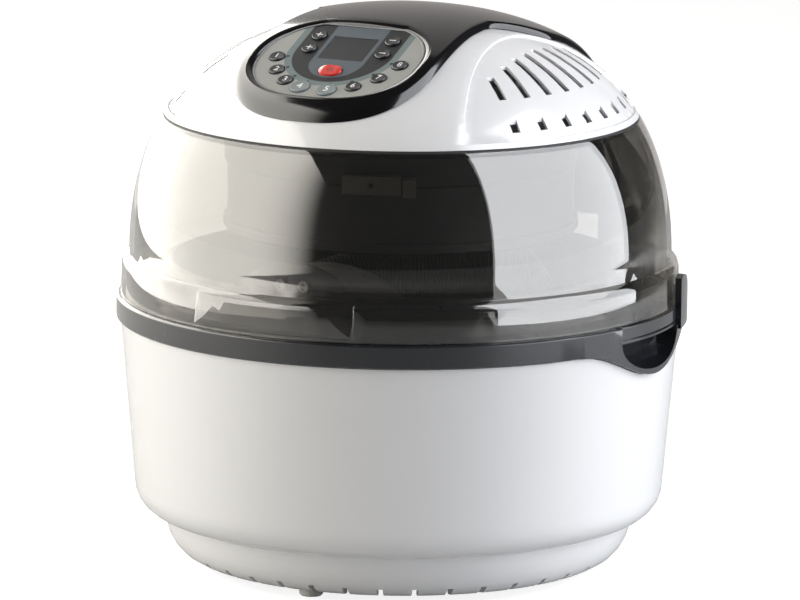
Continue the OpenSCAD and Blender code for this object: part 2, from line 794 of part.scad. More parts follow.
module hinge_spring() {
    last = spring_turns * spring_rings;
    points = [for (i = [0:last], p = spring_ring(i)) p];
    sides = [for (i = [0:last - 1], k = [0:spring_sides - 1])
        let (j = (k + 1) % spring_sides, a = i * spring_sides)
        each [[a + k, a + j, a + spring_sides + j], [a + k, a + spring_sides + j, a + spring_sides + k]]];
    cap0 = [for (k = [1:spring_sides - 2]) [0, k + 1, k]];
    cap1 = [for (k = [1:spring_sides - 2]) let (a = last * spring_sides) [a, a + k, a + k + 1]];
    color(steel) on_axis() translate([0, pin_y, pin_z])
        polyhedron(points = points, faces = [for (f = concat(sides, cap0, cap1)) reversed(f)]);
}

module hinge_arm() {
    color(gloss_black) on_axis() difference() {
        hinge_rod(knuckle_r, -knuckle_half_w, knuckle_half_w);
        hinge_rod(pin_r + running_gap, -ears_half_w, ears_half_w);
        hinge_rod(knuckle_bore_r, -knuckle_half_w + 10, knuckle_half_w - 10);
    }
}

// Solid of revolution below the dome's surface moved outwards by off
module dome_solid(off) {
    rotate_extrude() polygon(concat(dome_line(off), [[0, body_top_z], [dome_r + off, body_top_z]]));
}

module hinge_cover() {
    color(gloss_black) on_axis() difference() {
        intersection() {
            translate([-ears_half_w, 0, 0]) rotate([90, 0, 90]) linear_extrude(2 * ears_half_w)
                polygon([[pin_y - 80, pin_z + 0.5], [pin_y - 80, cover_top_z], [pin_y - 26, cover_top_z],
                    [pin_y - 15, cover_top_z - 11], [pin_y - 6, cover_top_z - 24],
                    [pin_y - 1, cover_top_z - 34], [pin_y, pin_z + ear_r + 4.5], [pin_y, pin_z + 0.5]]);
            rotate_extrude() polygon([[pin_y - 80, pin_z], [pin_y - 80, cover_top_z + over],
                [pin_y - 26.5, cover_top_z + over], [pin_y - 26.5, cover_top_z],
                [pin_y - 17, cover_top_z - 9], [pin_y - 2, cover_top_z - 20],
                [pin_y + 16, cover_top_z - 36], [pin_y + 20, pin_z]]);
        }
        dome_solid(seat_gap);
        for (side = [-1, 1])
            hinge_rod(ear_r + cover_gap, side < 0 ? -ears_half_w - over : knuckle_half_w,
                side < 0 ? -knuckle_half_w : ears_half_w + over);
        hinge_rod(knuckle_r + seat_gap, -knuckle_half_w - over, knuckle_half_w + over);
    }
}

module cord_gland() {
    color(dark_grey) on_axis() difference() {
        union() {
            rod_y(gland_r - seat_gap, body_low_r - 6, body_low_r + 2, gland_z);
            rod_y(gland_r + 3, body_low_r + 2.6, body_low_r + 6, gland_z);
            rod_y(gland_r - seat_gap, body_low_r, body_low_r + 12, gland_z);
        }
        rod_y(3.6, body_low_r - 10, body_low_r + 20, gland_z);
    }
}

// ---- Lid window, gasket and crown ----

module lid_window() {
    inner_skirt_r = skirt_r - dome_wall;
    color("#8a8782", 0.45) on_axis() union() {
        rotate_extrude() intersection() {
            polygon(concat(
                [[inner_skirt_r, skirt_low_z], [skirt_r, skirt_low_z], [skirt_r - 0.6, skirt_top_z - 3],
                [skirt_r - 1.4, skirt_top_z], [skirt_r - 3, dome_base_z - 0.6]],
                dome_line(0), reversed(dome_line(-dome_wall)),
                [[inner_skirt_r - 4, dome_base_z - dome_wall - 0.4],
                [inner_skirt_r - 0.6, skirt_top_z - 4]]));
            translate([0, skirt_low_z]) square([far, plate_z - skirt_low_z]);
        }
        // inner lip that carries the divider plate
        rotate_extrude() intersection() {
            polygon(concat(dome_line(-1), [[0, body_top_z], [dome_r, body_top_z]]));
            translate([lip_r, plate_z - lip_t]) square([20, lip_t]);
        }
        pull();
        // catch for the release bar's tongue
        translate([inner_skirt_r - catch_reach, -catch_half_w, catch_z])
            cube([catch_reach + 1, 2 * catch_half_w, catch_h]);
    }
}

// Raised pull at the front of the skirt, with a slanted facet at each end
module pull() {
    difference() {
        intersection() {
            rotate_extrude() polygon([[skirt_r - 1.5, skirt_low_z + 2], [skirt_r + pull_out, skirt_low_z + 3],
                [skirt_r + pull_out, skirt_top_z - 3], [skirt_r + pull_out - 1, skirt_top_z - 0.5],
                [skirt_r - 2, skirt_top_z + 0.5]]);
            linear_extrude(far) polygon([[0, 0], [-far * tan(pull_half_angle), -far],
                [far * tan(pull_half_angle), -far]]);
        }
        for (side = [0, 1])
            mirror([side, 0, 0]) at_azimuth(pull_half_angle)
                translate([skirt_r + pull_out, 0, skirt_low_z + 3])
                    rotate([0, -pull_facet_lean, pull_facet_turn])
                        translate([0, -40, -30]) cube([20, 80, 80]);
    }
}

module seam_gasket() {
    color("#1c1c1e") on_axis() rotate_extrude() intersection() {
        polygon(concat(dome_line(-0.6), [[0, body_top_z], [dome_r, body_top_z]]));
        translate([plate_r + seat_gap, plate_z]) square([20, seam_gap]);
    }
}

module wing_outline(grow) {
    polygon(concat([for (i = [-12:8]) let (y = i * 10) [wing_edge(y) - grow, y]], [[200, 80], [200, -120]]));
}

module crown_vents() {
    half = (vent_count - 1) / 2;
    for (i = [-half:half]) {
        top_r = vent_low_r - 33 + 1.1 * i * i;
        at_azimuth(90 + i * vent_pitch) {
            translate([top_r, -vent_w / 2, seam_z - 10]) cube([vent_low_r - top_r, vent_w, 80]);
            translate([small_vent_r, -small_vent_size / 2, seam_z - 10])
                cube([small_vent_size, small_vent_size, 60]);
        }
    }
}

module lid_crown() {
    color(white) on_axis() difference() {
        union() {
            rotate_extrude() intersection() {
                polygon(concat(dome_line(0), reversed(dome_line(-dome_wall))));
                translate([0, seam_z]) square([far, far]);
            }
            rotate_extrude() intersection() {
                polygon(concat(dome_line(-1), [[0, body_top_z], [dome_r, body_top_z]]));
                translate([flange_r, seam_z]) square([30, 3]);
            }
        }
        for (side = [0, 1])
            mirror([side, 0, 0]) {
                intersection() {
                    rotate_extrude() polygon(concat(dome_line(5), reversed(dome_line(-wing_depth))));
                    translate([0, 0, seam_z + 3]) linear_extrude(far) wing_outline(0);
                }
                crown_vents();
            }
        translate([0, axis_forward, 0]) on_panel() translate([0, 0, -tub_depth - 10])
            linear_extrude(60) oval(tub_wall + seat_gap);
    }
}

// ---- Inside the lid ----

module divider_plate() {
    color(steel) on_axis() difference() {
        translate([0, 0, plate_z]) cylinder(r = plate_r, h = seam_gap);
        cylinder(r = fan_shaft_r + 1, h = 400);
        for (a = [0:30:330])
            at_azimuth(a) translate([50, -1.5, plate_z - over]) cube([18, 3, seam_gap + 2 * over]);
    }
}

module heater_housing() {
    color("#232427") on_axis() rotate_extrude() polygon([
        [housing_r - housing_wall, housing_low_z], [housing_r, housing_low_z],
        [housing_r, housing_step_z], [housing_r + 1.8, housing_step_z + 1],
        [housing_r + 1.8, plate_z - 1], [housing_r + 9, plate_z - 1], [housing_r + 9, plate_z],
        [housing_r - housing_wall, plate_z]]);
}

module housing_band() {
    color("#2c2d30") on_axis() rotate_extrude() polygon([
        [housing_r - 4, guard_z], [housing_r + 1, guard_z], [housing_r + 2.4, guard_z + 1.4],
        [housing_r + 2.4, housing_low_z + 3], [housing_r + seat_gap, housing_low_z + 3],
        [housing_r + seat_gap, housing_low_z], [housing_r - 4, housing_low_z]]);
}

module guard_grille() {
    ring_pitch = 15;
    color(steel) on_axis() {
        for (i = [1:floor((housing_r - 6) / ring_pitch)])
            translate([0, 0, guard_z + 2.2]) rotate_extrude()
                translate([i * ring_pitch, 0]) circle(r = guard_wire, $fn = 24);
        for (a = [0:60:120])
            rotate([0, 90, a]) translate([-guard_z - 0.6, 0, 0])
                cylinder(r = guard_wire, h = 2 * (housing_r - 4.2), center = true, $fn = 24);
    }
}

module reflector() {
    flat_r = tube_ring_r + tube_r + 6;
    rim_r = housing_r - housing_wall - seat_gap;
    color(steel) on_axis() difference() {
        rotate_extrude() polygon([[8, reflector_z], [flat_r, reflector_z], [rim_r - 1, reflector_z - 11],
            [rim_r, reflector_z - 11], [rim_r, reflector_z - 10], [flat_r + 1, reflector_z + 1],
            [71, reflector_z + 1], [71, plate_z], [69, plate_z], [69, reflector_z + 1],
            [8, reflector_z + 1]]);
        for (a = [0:45:315])
            at_azimuth(a) translate([30, -2, reflector_z - 3]) cube([25, 4, 10]);
    }
}

module heating_tube() {
    color("#e9e2d2") on_axis() {
        difference() {
            translate([0, 0, tube_z]) rotate_extrude() translate([tube_ring_r, 0])
                circle(r = tube_r, $fn = 32);
            at_azimuth(180) translate([tube_ring_r - 10, -9, tube_z - 10]) cube([20, 18, 20]);
        }
        for (side = [-1, 1])
            at_azimuth(180) translate([tube_ring_r, side * 12, tube_z])
                cylinder(r = 3.4, h = reflector_z - 0.1 - tube_z);
    }
}

module tube_clips() {
    color(steel) on_axis() for (a = [60, 180, 300])
        at_azimuth(a + 30) difference() {
            union() {
                translate([tube_ring_r - tube_r - 1.5, -3, tube_z]) cube([2 * tube_r + 3, 6, tube_r + 2]);
                translate([tube_ring_r, 0, tube_z + tube_r])
                    cylinder(r = 2, h = reflector_z - 0.05 - tube_z - tube_r);
            }
            translate([0, 0, tube_z]) rotate_extrude() translate([tube_ring_r, 0])
                circle(r = tube_r + seat_gap, $fn = 32);
        }
}

module temperature_sensor() {
    color("#a7a9ab") on_axis() difference() {
        for (part = sensor_parts)
            intersection() {
                rotate_extrude() translate([housing_r + 2.1, part[2]]) square([part[3], sensor_h]);
                linear_extrude(far) polygon([[0, 0], [far * sin(part[0]), -far * cos(part[0])],
                    [far * sin(part[1]), -far * cos(part[1])]]);
            }
        at_azimuth(18) translate([housing_r, 0, housing_step_z + 2.5])
            rotate([0, 90, 0]) cylinder(r = 1.6, h = 20);
    }
}

module fan_motor() {
    color("#8f8f8c") on_axis() difference() {
        union() {
            translate([0, 0, seam_z + 6]) cylinder(r = motor_body_r, h = motor_top_z - seam_z - 6);
            for (x = [-1, 1], y = [-1, 1])
                translate([x * 18, y * 18, plate_z + seam_gap]) cylinder(r = 3.5, h = 7);
            translate([-motor_body_r - 5, -11, seam_z + 10]) cube([2 * motor_body_r + 10, 22, 12]);
        }
        cylinder(r = fan_shaft_r + running_gap, h = 400);
    }
}

module fan_shaft() {
    color(steel) on_axis() translate([0, 0, fan_z - 2])
        cylinder(r = fan_shaft_r, h = cool_fan_z + cool_fan_h - fan_z + 2);
}

// A fan wheel: hub, back plate and blades that are arcs seen from above
module fan_wheel(r, h, hub_r, plate_low_z) {
    sweep_r = r * 0.75;
    difference() {
        union() {
            cylinder(r = hub_r, h = h);
            translate([0, 0, plate_low_z]) cylinder(r = r * 0.9, h = blade_t);
            for (i = [0:blade_count - 1])
                translate([0, 0, blade_inset]) rotate([0, 0, i * 360 / blade_count])
                    linear_extrude(h - 2 * blade_inset) intersection() {
                        difference() {
                            circle(r = r);
                            circle(r = hub_r - 1);
                        }
                        translate([sweep_r, 0]) difference() {
                            circle(r = sweep_r);
                            circle(r = sweep_r - blade_t);
                            translate([-sweep_r - r, 0]) square(2 * (sweep_r + r));
                        }
                    }
        }
        translate([0, 0, -over]) cylinder(r = fan_shaft_r, h = h + 2 * over);
    }
}

module hot_air_fan() {
    color("#9c9ea0") on_axis() translate([0, 0, fan_z]) fan_wheel(hot_fan_r, fan_h, 8, fan_h - 2 * blade_t);
}

module cooling_fan() {
    color("#2b2b2d") on_axis() translate([0, 0, cool_fan_z])
        fan_wheel(cool_fan_r, cool_fan_h, 7, blade_t);
}

// ---- Console and control panel ----

// The fascia's oval, grown by g; its back is cut straight
module oval(g) {
    a = fascia_half_w + g;
    b = fascia_half_l + g;
    e = 2 / oval_power;
    intersection() {
        polygon([for (i = [0:59]) let (c = cos(i * 6), s = sin(i * 6))
            [a * sign(c) * pow(abs(c), e), fascia_mid_y + b * sign(s) * pow(abs(s), e)]]);
        translate([-a - 1, -2 * b]) square([2 * a + 2, 2 * b + fascia_back_y + g]);
    }
}

module console_outline() {
    right = [for (y = outline_ys) [console_half(y), y]];
    polygon(concat(right, reversed([for (p = right) if (p[0] > 0) [-p[0], p[1]]])));
}

module console() {
    color(gloss_black) difference() {
        union() {
            on_axis() intersection() {
                rotate_extrude() polygon(concat(dome_line(console_rise), reversed(dome_line(seat_gap))));
                union() {
                    translate([0, 0, housing_low_z]) linear_extrude(far) intersection() {
                        console_outline();
                        translate([-far, -far]) square([2 * far, far]);
                    }
                    translate([0, 0, cover_top_z]) linear_extrude(far) intersection() {
                        console_outline();
                        translate([-far, -1]) square([2 * far, far]);
                    }
                }
            }
            intersection() {
                on_panel() translate([0, 0, -tub_depth]) linear_extrude(40) oval(tub_wall);
                on_axis() dome_solid(console_rise);
            }
        }
        // the opening above the fascia, its seat and the room for the board
        on_panel() hull() {
            linear_extrude(0.1) oval(0.4);
            translate([0, 0, 12]) linear_extrude(0.1) oval(8);
        }
        on_panel() translate([0, 0, -fascia_t]) linear_extrude(20) oval(seat_gap);
        on_panel() translate([0, 0, -tub_depth + tub_wall])
            linear_extrude(tub_depth) oval(-2);
    }
}

module console_trim() {
    color("#9a9b9d") on_panel() difference() {
        linear_extrude(0.5) oval(0.3);
        translate([0, 0, -over]) linear_extrude(3) oval(-0.9);
    }
}

module control_fascia() {
    color("#b7b7b4") on_panel() difference() {
        translate([0, 0, -fascia_t]) linear_extrude(fascia_t) oval(0);
        translate([0, 0, -fascia_t - over]) linear_extrude(fascia_t + 2 * over) {
            square([display_w + 2 * seat_gap, display_l + 2 * seat_gap], center = true);
            for (i = [0:7])
                translate(preset_place(i)) circle(r = preset_r(i) + seat_gap);
            for (x = [-side_key_x, side_key_x], y = side_key_ys)
                translate([x, y]) circle(r = key_r + seat_gap);
            translate([0, power_y]) power_shape(seat_gap);
        }
    }
}

module display() {
    color("#1b1c20") on_panel() translate([-display_w / 2, -display_l / 2, board_top])
        cube([display_w, display_l, -board_top - 0.3]);
}

module keypad() {
    color("#6d6f72") on_panel() translate([0, 0, board_top]) difference() {
        linear_extrude(pad_t) oval(-3);
        translate([0, 0, -over]) linear_extrude(pad_t + 2 * over)
            square([display_w + 1, display_l + 1], center = true);
    }
}

module control_board() {
    color("#2f6b3f") on_panel() {
        translate([0, 0, board_top - board_t]) linear_extrude(board_t) oval(-2.5);
        for (x = [-34, 34], y = [-30, 8])
            translate([x, y, -tub_depth + tub_wall])
                cylinder(r = 2.5, h = board_top - board_t + tub_depth - tub_wall);
    }
}

function preset_place(i) = [preset_ring_r * cos(preset_angles[i]),
    preset_mid_y + preset_ring_r * sin(preset_angles[i])];
function preset_r(i) = i == 3 || i == 4 ? big_key_r : key_r;

module power_shape(g) {
    round_r = power_half_l + g;
    reach = power_half_w - power_half_l;
    translate([-reach, -round_r]) square([2 * reach, 2 * round_r]);
    for (x = [-reach, reach])
        translate([x, 0]) circle(r = round_r);
}

// A key of the given radius, with the flange that keeps it under the fascia
module round_key(r, place) {
    on_panel() translate(place) rotate_extrude() polygon([[0, stem_low], [r - 1.5, stem_low],
        [r - 1.5, -fascia_t - key_flange_t - 0.1], [r + key_flange, -fascia_t - key_flange_t - 0.1],
        [r + key_flange, -fascia_t - 0.1], [r, -fascia_t - 0.1], [r, key_proud - 0.5],
        [r - 0.5, key_proud], [0, key_proud - 0.15]]);
}

module preset_key(i) {
    color(i == 3 || i == 4 ? "#85878a" : gloss_black) round_key(preset_r(i), preset_place(i));
}

module key_1() { preset_key(0); }
module key_2() { preset_key(1); }
module key_3() { preset_key(2); }
module key_4() { preset_key(3); }
module key_5() { preset_key(4); }
module key_6() { preset_key(5); }
module key_7() { preset_key(6); }
module key_8() { preset_key(7); }
module key_temp_up() { color(gloss_black) round_key(key_r, [-side_key_x, side_key_ys[0]]); }
module key_temp_down() { color(gloss_black) round_key(key_r, [side_key_x, side_key_ys[0]]); }
module key_time_up() { color(gloss_black) round_key(key_r, [-side_key_x, side_key_ys[1]]); }
module key_time_down() { color(gloss_black) round_key(key_r, [side_key_x, side_key_ys[1]]); }

module key_power() {
    color("#d9372c") on_panel() translate([0, power_y]) {
        translate([0, 0, -fascia_t - 0.2]) linear_extrude(fascia_t + 0.2 + key_proud) power_shape(0);
        translate([0, 0, -fascia_t - key_flange_t - 0.1]) linear_extrude(key_flange_t)
            power_shape(key_flange);
        translate([0, 0, stem_low]) cylinder(r = 3, h = 1.3);
    }
}

base_pan();
feet();
base_screws();
body_shell();
rim_ring();
heat_shield();
inner_pot();
bearing_hangers();
ear_screws();
drive_motor();
motor_bracket();
hinge_base();
hinge_pin();
hinge_spring();
cord_gland();
release_bar();
drum_wall();
drum_front_disc();
drum_rear_disc();
drive_shaft();
lid_window();
seam_gasket();
lid_crown();
divider_plate();
heater_housing();
housing_band();
guard_grille();
reflector();
heating_tube();
tube_clips();
temperature_sensor();
fan_motor();
fan_shaft();
hot_air_fan();
cooling_fan();
console();
hinge_cover();
hinge_arm();
console_trim();
control_fascia();
display();
keypad();
control_board();
key_1();
key_2();
key_3();
key_4();
key_5();
key_6();
key_7();
key_8();
key_temp_up();
key_temp_down();
key_time_up();
key_time_down();
key_power();
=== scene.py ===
import json
import math
import bmesh
import bpy
from mathutils import Matrix, Vector

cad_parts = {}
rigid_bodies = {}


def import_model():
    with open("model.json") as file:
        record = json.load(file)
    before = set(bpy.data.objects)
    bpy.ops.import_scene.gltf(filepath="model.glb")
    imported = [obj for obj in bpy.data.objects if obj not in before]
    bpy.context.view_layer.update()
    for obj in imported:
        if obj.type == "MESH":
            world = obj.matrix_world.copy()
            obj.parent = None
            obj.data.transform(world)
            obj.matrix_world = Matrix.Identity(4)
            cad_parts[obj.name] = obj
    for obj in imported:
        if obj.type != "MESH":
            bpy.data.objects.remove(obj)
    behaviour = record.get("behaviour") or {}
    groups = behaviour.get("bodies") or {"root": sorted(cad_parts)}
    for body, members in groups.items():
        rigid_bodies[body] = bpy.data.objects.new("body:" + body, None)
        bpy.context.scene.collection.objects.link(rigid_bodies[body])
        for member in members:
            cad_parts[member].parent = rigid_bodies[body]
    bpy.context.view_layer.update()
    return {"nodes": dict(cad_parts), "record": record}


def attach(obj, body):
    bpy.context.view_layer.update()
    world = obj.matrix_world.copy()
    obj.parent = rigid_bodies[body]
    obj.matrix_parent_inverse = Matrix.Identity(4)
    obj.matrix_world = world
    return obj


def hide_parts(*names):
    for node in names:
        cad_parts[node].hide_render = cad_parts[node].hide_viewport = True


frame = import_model()
nodes = frame["nodes"]
scene = bpy.context.scene
print("stage: frame loaded,", len(nodes), "nodes")

# everything is in metres; the upright axis of pot and dome lies a little in front of the origin,
# and the dome's section is one curve of four points, each a radius and a height
oven = {
    "axisY": -0.012,
    "domeCurve": [(0.161, 0.186), (0.161, 0.274), (0.115, 0.3295), (0.0, 0.3295)],
    "panelTilt": math.radians(24.3),
    "panelCentre": Vector((0, -0.081, 0.317)),
}


class Value:
    # one socket, so that shader maths reads as plain expressions
    def __init__(self, finish, socket):
        self.finish, self.socket = finish, socket

    def maths(self, operation, *values):
        made = self.finish.add("ShaderNodeMath", {"operation": operation}, dict(enumerate(values)))
        return Value(self.finish, made.outputs[0])

    def __add__(self, other):
        return self.maths("ADD", self, other)

    def __radd__(self, other):
        return self.maths("ADD", other, self)

    def __sub__(self, other):
        return self.maths("SUBTRACT", self, other)

    def __rsub__(self, other):
        return self.maths("SUBTRACT", other, self)

    def __mul__(self, other):
        return self.maths("MULTIPLY", self, other)

    def __rmul__(self, other):
        return self.maths("MULTIPLY", other, self)

    def __pow__(self, other):
        return self.maths("POWER", self, other)

    def least(self, other):
        return self.maths("MINIMUM", self, other)

    def most(self, other):
        return self.maths("MAXIMUM", self, other)

    def root(self):
        return self.maths("SQRT", self)

    def clamped(self):
        return self.maths("MINIMUM", self.maths("MAXIMUM", self, 0.0), 1.0)


class Finish:
    # one material, built node by node
    def __init__(self, name):
        self.material = bpy.data.materials.new(name)
        self.material.use_nodes = True
        self.tree = self.material.node_tree
        self.tree.nodes.clear()
        self.out = self.tree.nodes.new("ShaderNodeOutputMaterial")

    def add(self, kind, settings=None, sockets=None):
        made = self.tree.nodes.new(kind)
        for key, value in (settings or {}).items():
            if key == "stops":
                while len(made.color_ramp.elements) < len(value):
                    made.color_ramp.elements.new(1.0)
                for element, (place, colour) in zip(made.color_ramp.elements, value):
                    element.position, element.color = place, colour
            else:
                setattr(made, key, value)
        for key, value in (sockets or {}).items():
            self.feed(made.inputs[key], value)
        return made

    def feed(self, socket, value):
        if isinstance(value, Value):
            self.tree.links.new(value.socket, socket)
        elif isinstance(value, bpy.types.NodeSocket):
            self.tree.links.new(value, socket)
        elif value is not None:
            socket.default_value = value

    def place(self):
        # the point on the object, in metres
        parts = self.add("ShaderNodeSeparateXYZ", None, {0: self.point()})
        return [Value(self, parts.outputs[i]) for i in range(3)]

    def point(self):
        return self.add("ShaderNodeTexCoord").outputs["Object"]

    def noise(self, scale, detail=2.0, rough=0.5, vector=None):
        made = self.add("ShaderNodeTexNoise", None, {
            "Vector": vector or self.point(), "Scale": scale, "Detail": detail, "Roughness": rough})
        return Value(self, made.outputs["Fac"])

    def stretched(self, scale):
        return self.add("ShaderNodeMapping", None, {"Vector": self.point(), "Scale": scale}).outputs[0]

    def blend(self, mask, first, second):
        made = self.add("ShaderNodeMix", {"data_type": "RGBA"}, {0: mask, 6: first, 7: second})
        return made.outputs[2]

    def bump(self, height, strength, distance):
        return self.add("ShaderNodeBump", None, {
            "Strength": strength, "Distance": distance, "Height": height}).outputs[0]

    def principled(self, **sockets):
        named = {key.replace("_", " "): value for key, value in sockets.items()}
        return self.add("ShaderNodeBsdfPrincipled", None, named).outputs[0]

    def done(self, surface):
        self.tree.links.new(surface, self.out.inputs["Surface"])
        return self.material


def rgb(r, g, b):
    # a colour as an eye reads it, 0 to 255, made linear
    def linear(v):
        v /= 255
        return v / 12.92 if v <= 0.04045 else ((v + 0.055) / 1.055) ** 2.4
    return (linear(r), linear(g), linear(b), 1.0)


def scaled(colour, share):
    return [min(1, c * share) for c in colour[:3]] + [1]


def mouldedPlastic(name, colour, roughness, grain, depth, coat=0.0, mottle=0.03):
    # moulded plastic: a fine grain, and colour and gloss that wander a little
    f = Finish(name)
    wander = f.noise(9.0, 3.0)
    shade = f.blend(wander, scaled(colour, 1 - mottle), scaled(colour, 1 + mottle))
    height = f.noise(grain, 2.0)
    rough = roughness + (f.noise(60.0, 2.0) - 0.5) * roughness * 0.35
    return f.done(f.principled(Base_Color=shade, Roughness=rough, Coat_Weight=coat, Coat_Roughness=0.04,
                               IOR=1.5, Normal=f.bump(height, 0.25, depth)))


def sheetMetal(name, colour, roughness, grainAlong=(4, 4, 900), metallic=1.0, depth=0.00002):
    # rolled metal: long grain along one way, and faint smears
    f = Finish(name)
    grain = f.noise(1.0, 2.0, vector=f.stretched(grainAlong))
    smear = f.noise(22.0, 3.0)
    shade = f.blend(smear, scaled(colour, 0.86), scaled(colour, 1.1))
    rough = roughness + (grain - 0.5) * 0.16 + (smear - 0.5) * 0.1
    return f.done(f.principled(Base_Color=shade, Roughness=rough, Metallic=metallic,
                               Normal=f.bump(grain, 0.2, depth)))


def perforatedSteel():
    # the drum's sheet, with painted light: its outer face is painted dark as painted shade and its inner face
    # painted bright as painted light, so its holes show bright
    f = Finish("perforatedSteel")
    x, _, z = f.place()
    away = (x * x + (z - drumSheet["height"]) * (z - drumSheet["height"])).root()
    # painted light mask: 1 on the sheet's inner face, which gets a painted bright colour as if lit, 0 on the
    # outer face
    paintedLitInside = ((drumSheet["radius"] - drumSheet["thick"] * 0.5 - away) * 20000.0).clamped()
    smear = f.noise(30.0, 3.0)
    # painted shade: the outer face near black; painted light: the inner face near white and not metallic
    shade = f.blend(paintedLitInside, (0.035, 0.036, 0.038, 1), (0.82, 0.82, 0.8, 1))
    return f.done(f.principled(Base_Color=shade, Roughness=0.36 + (smear - 0.5) * 0.16,
                               Metallic=0.5 - paintedLitInside * 0.5))


def smokedPlastic():
    # clear smoked plastic: what is behind shows through, and the lamps mirror in it
    f = Finish("smokedWindow")
    facing = Value(f, f.add("ShaderNodeLayerWeight", None, {"Blend": 0.5}).outputs["Facing"])
    mirror = (windowLook["mirror"] + (1 - windowLook["mirror"]) * facing ** 4.0).clamped()
    smear = f.noise(14.0, 2.0)
    see = f.add("ShaderNodeBsdfTransparent", None, {"Color": windowLook["tint"]}).outputs[0]
    gloss = f.principled(Base_Color=f.blend(smear, (0.05, 0.05, 0.05, 1), (0.07, 0.068, 0.064, 1)),
                         Roughness=0.03, Metallic=0.0, IOR=1.5)
    shine = f.add("ShaderNodeBsdfGlossy", None, {"Color": (1, 1, 1, 1), "Roughness": 0.02}).outputs[0]
    veil = f.add("ShaderNodeMixShader", None, {0: windowLook["veil"], 1: see, 2: gloss}).outputs[0]
    return f.done(f.add("ShaderNodeMixShader", None, {0: mirror, 1: veil, 2: shine}).outputs[0])


drumSheet = {
    "radius": 0.0706,
    "halfLength": 0.084,
    "height": 0.1215,
    "pitch": 0.0028,
    "holeShare": 0.58,
    "thick": 0.0006,
    "bands": 3,
    "merge": 0.00006,
    "ends": 0.4,  # rows left free at the two ends together
    "firstRow": 0.7,
}

windowLook = {
    "tint": (0.72, 0.71, 0.69, 1),
    "mirror": 0.085,
    "veil": 0.06,
}

fasciaPrint = {
    "lightGrey": rgb(160, 161, 157),
    "bandGrey": rgb(111, 124, 125),
    "black": rgb(22, 24, 28),
    "slate": rgb(85, 94, 102),
    "bandRadius": 0.036,
    "blackRadius": 0.0316,
    "ringY": -0.0045,
    "slateRadius": 0.0172,
    "slateY": -0.0145,
    "dotRing": 0.0345,
    "dotRingY": -0.004,
    "dotRadius": 0.0011,
    "dotAngles": [195, 216, 236, 255, 280, 302, 324, 347],
    "sharpness": 12000.0,  # how steeply one print colour turns into the next, per metre
}


def printedFascia():
    # the panel's print: nested bands, open towards the rear, with a dot beside each preset key
    f = Finish("fasciaPrint")
    x, y, z = f.place()
    tilt = oven["panelTilt"]
    across = x
    along = (y - oven["panelCentre"].y) * math.cos(tilt) + (z - oven["panelCentre"].z) * math.sin(tilt)

    def bandMask(radius, bottomY):
        below = (along - bottomY).least(0.0)
        away = (across * across + below * below).root()
        return ((radius - away) * fasciaPrint["sharpness"]).clamped()

    look = fasciaPrint
    colour = f.blend(bandMask(look["bandRadius"], look["ringY"]), look["lightGrey"], look["bandGrey"])
    colour = f.blend(bandMask(look["blackRadius"], look["ringY"]), colour, look["black"])
    colour = f.blend(bandMask(look["slateRadius"], look["slateY"]), colour, look["slate"])
    dots = None
    for angle in look["dotAngles"]:
        dx = across - look["dotRing"] * math.cos(math.radians(angle))
        dy = along - (look["dotRingY"] + look["dotRing"] * math.sin(math.radians(angle)))
        dot = ((look["dotRadius"] - (dx * dx + dy * dy).root()) * look["sharpness"]).clamped()
        dots = dot if dots is None else dots.most(dot)
    colour = f.blend(dots, colour, look["black"])
    film = f.noise(420.0, 2.0)
    return f.done(f.principled(Base_Color=colour, Roughness=0.3 + (film - 0.5) * 0.1, IOR=1.45,
                               Normal=f.bump(film, 0.15, 0.00003)))


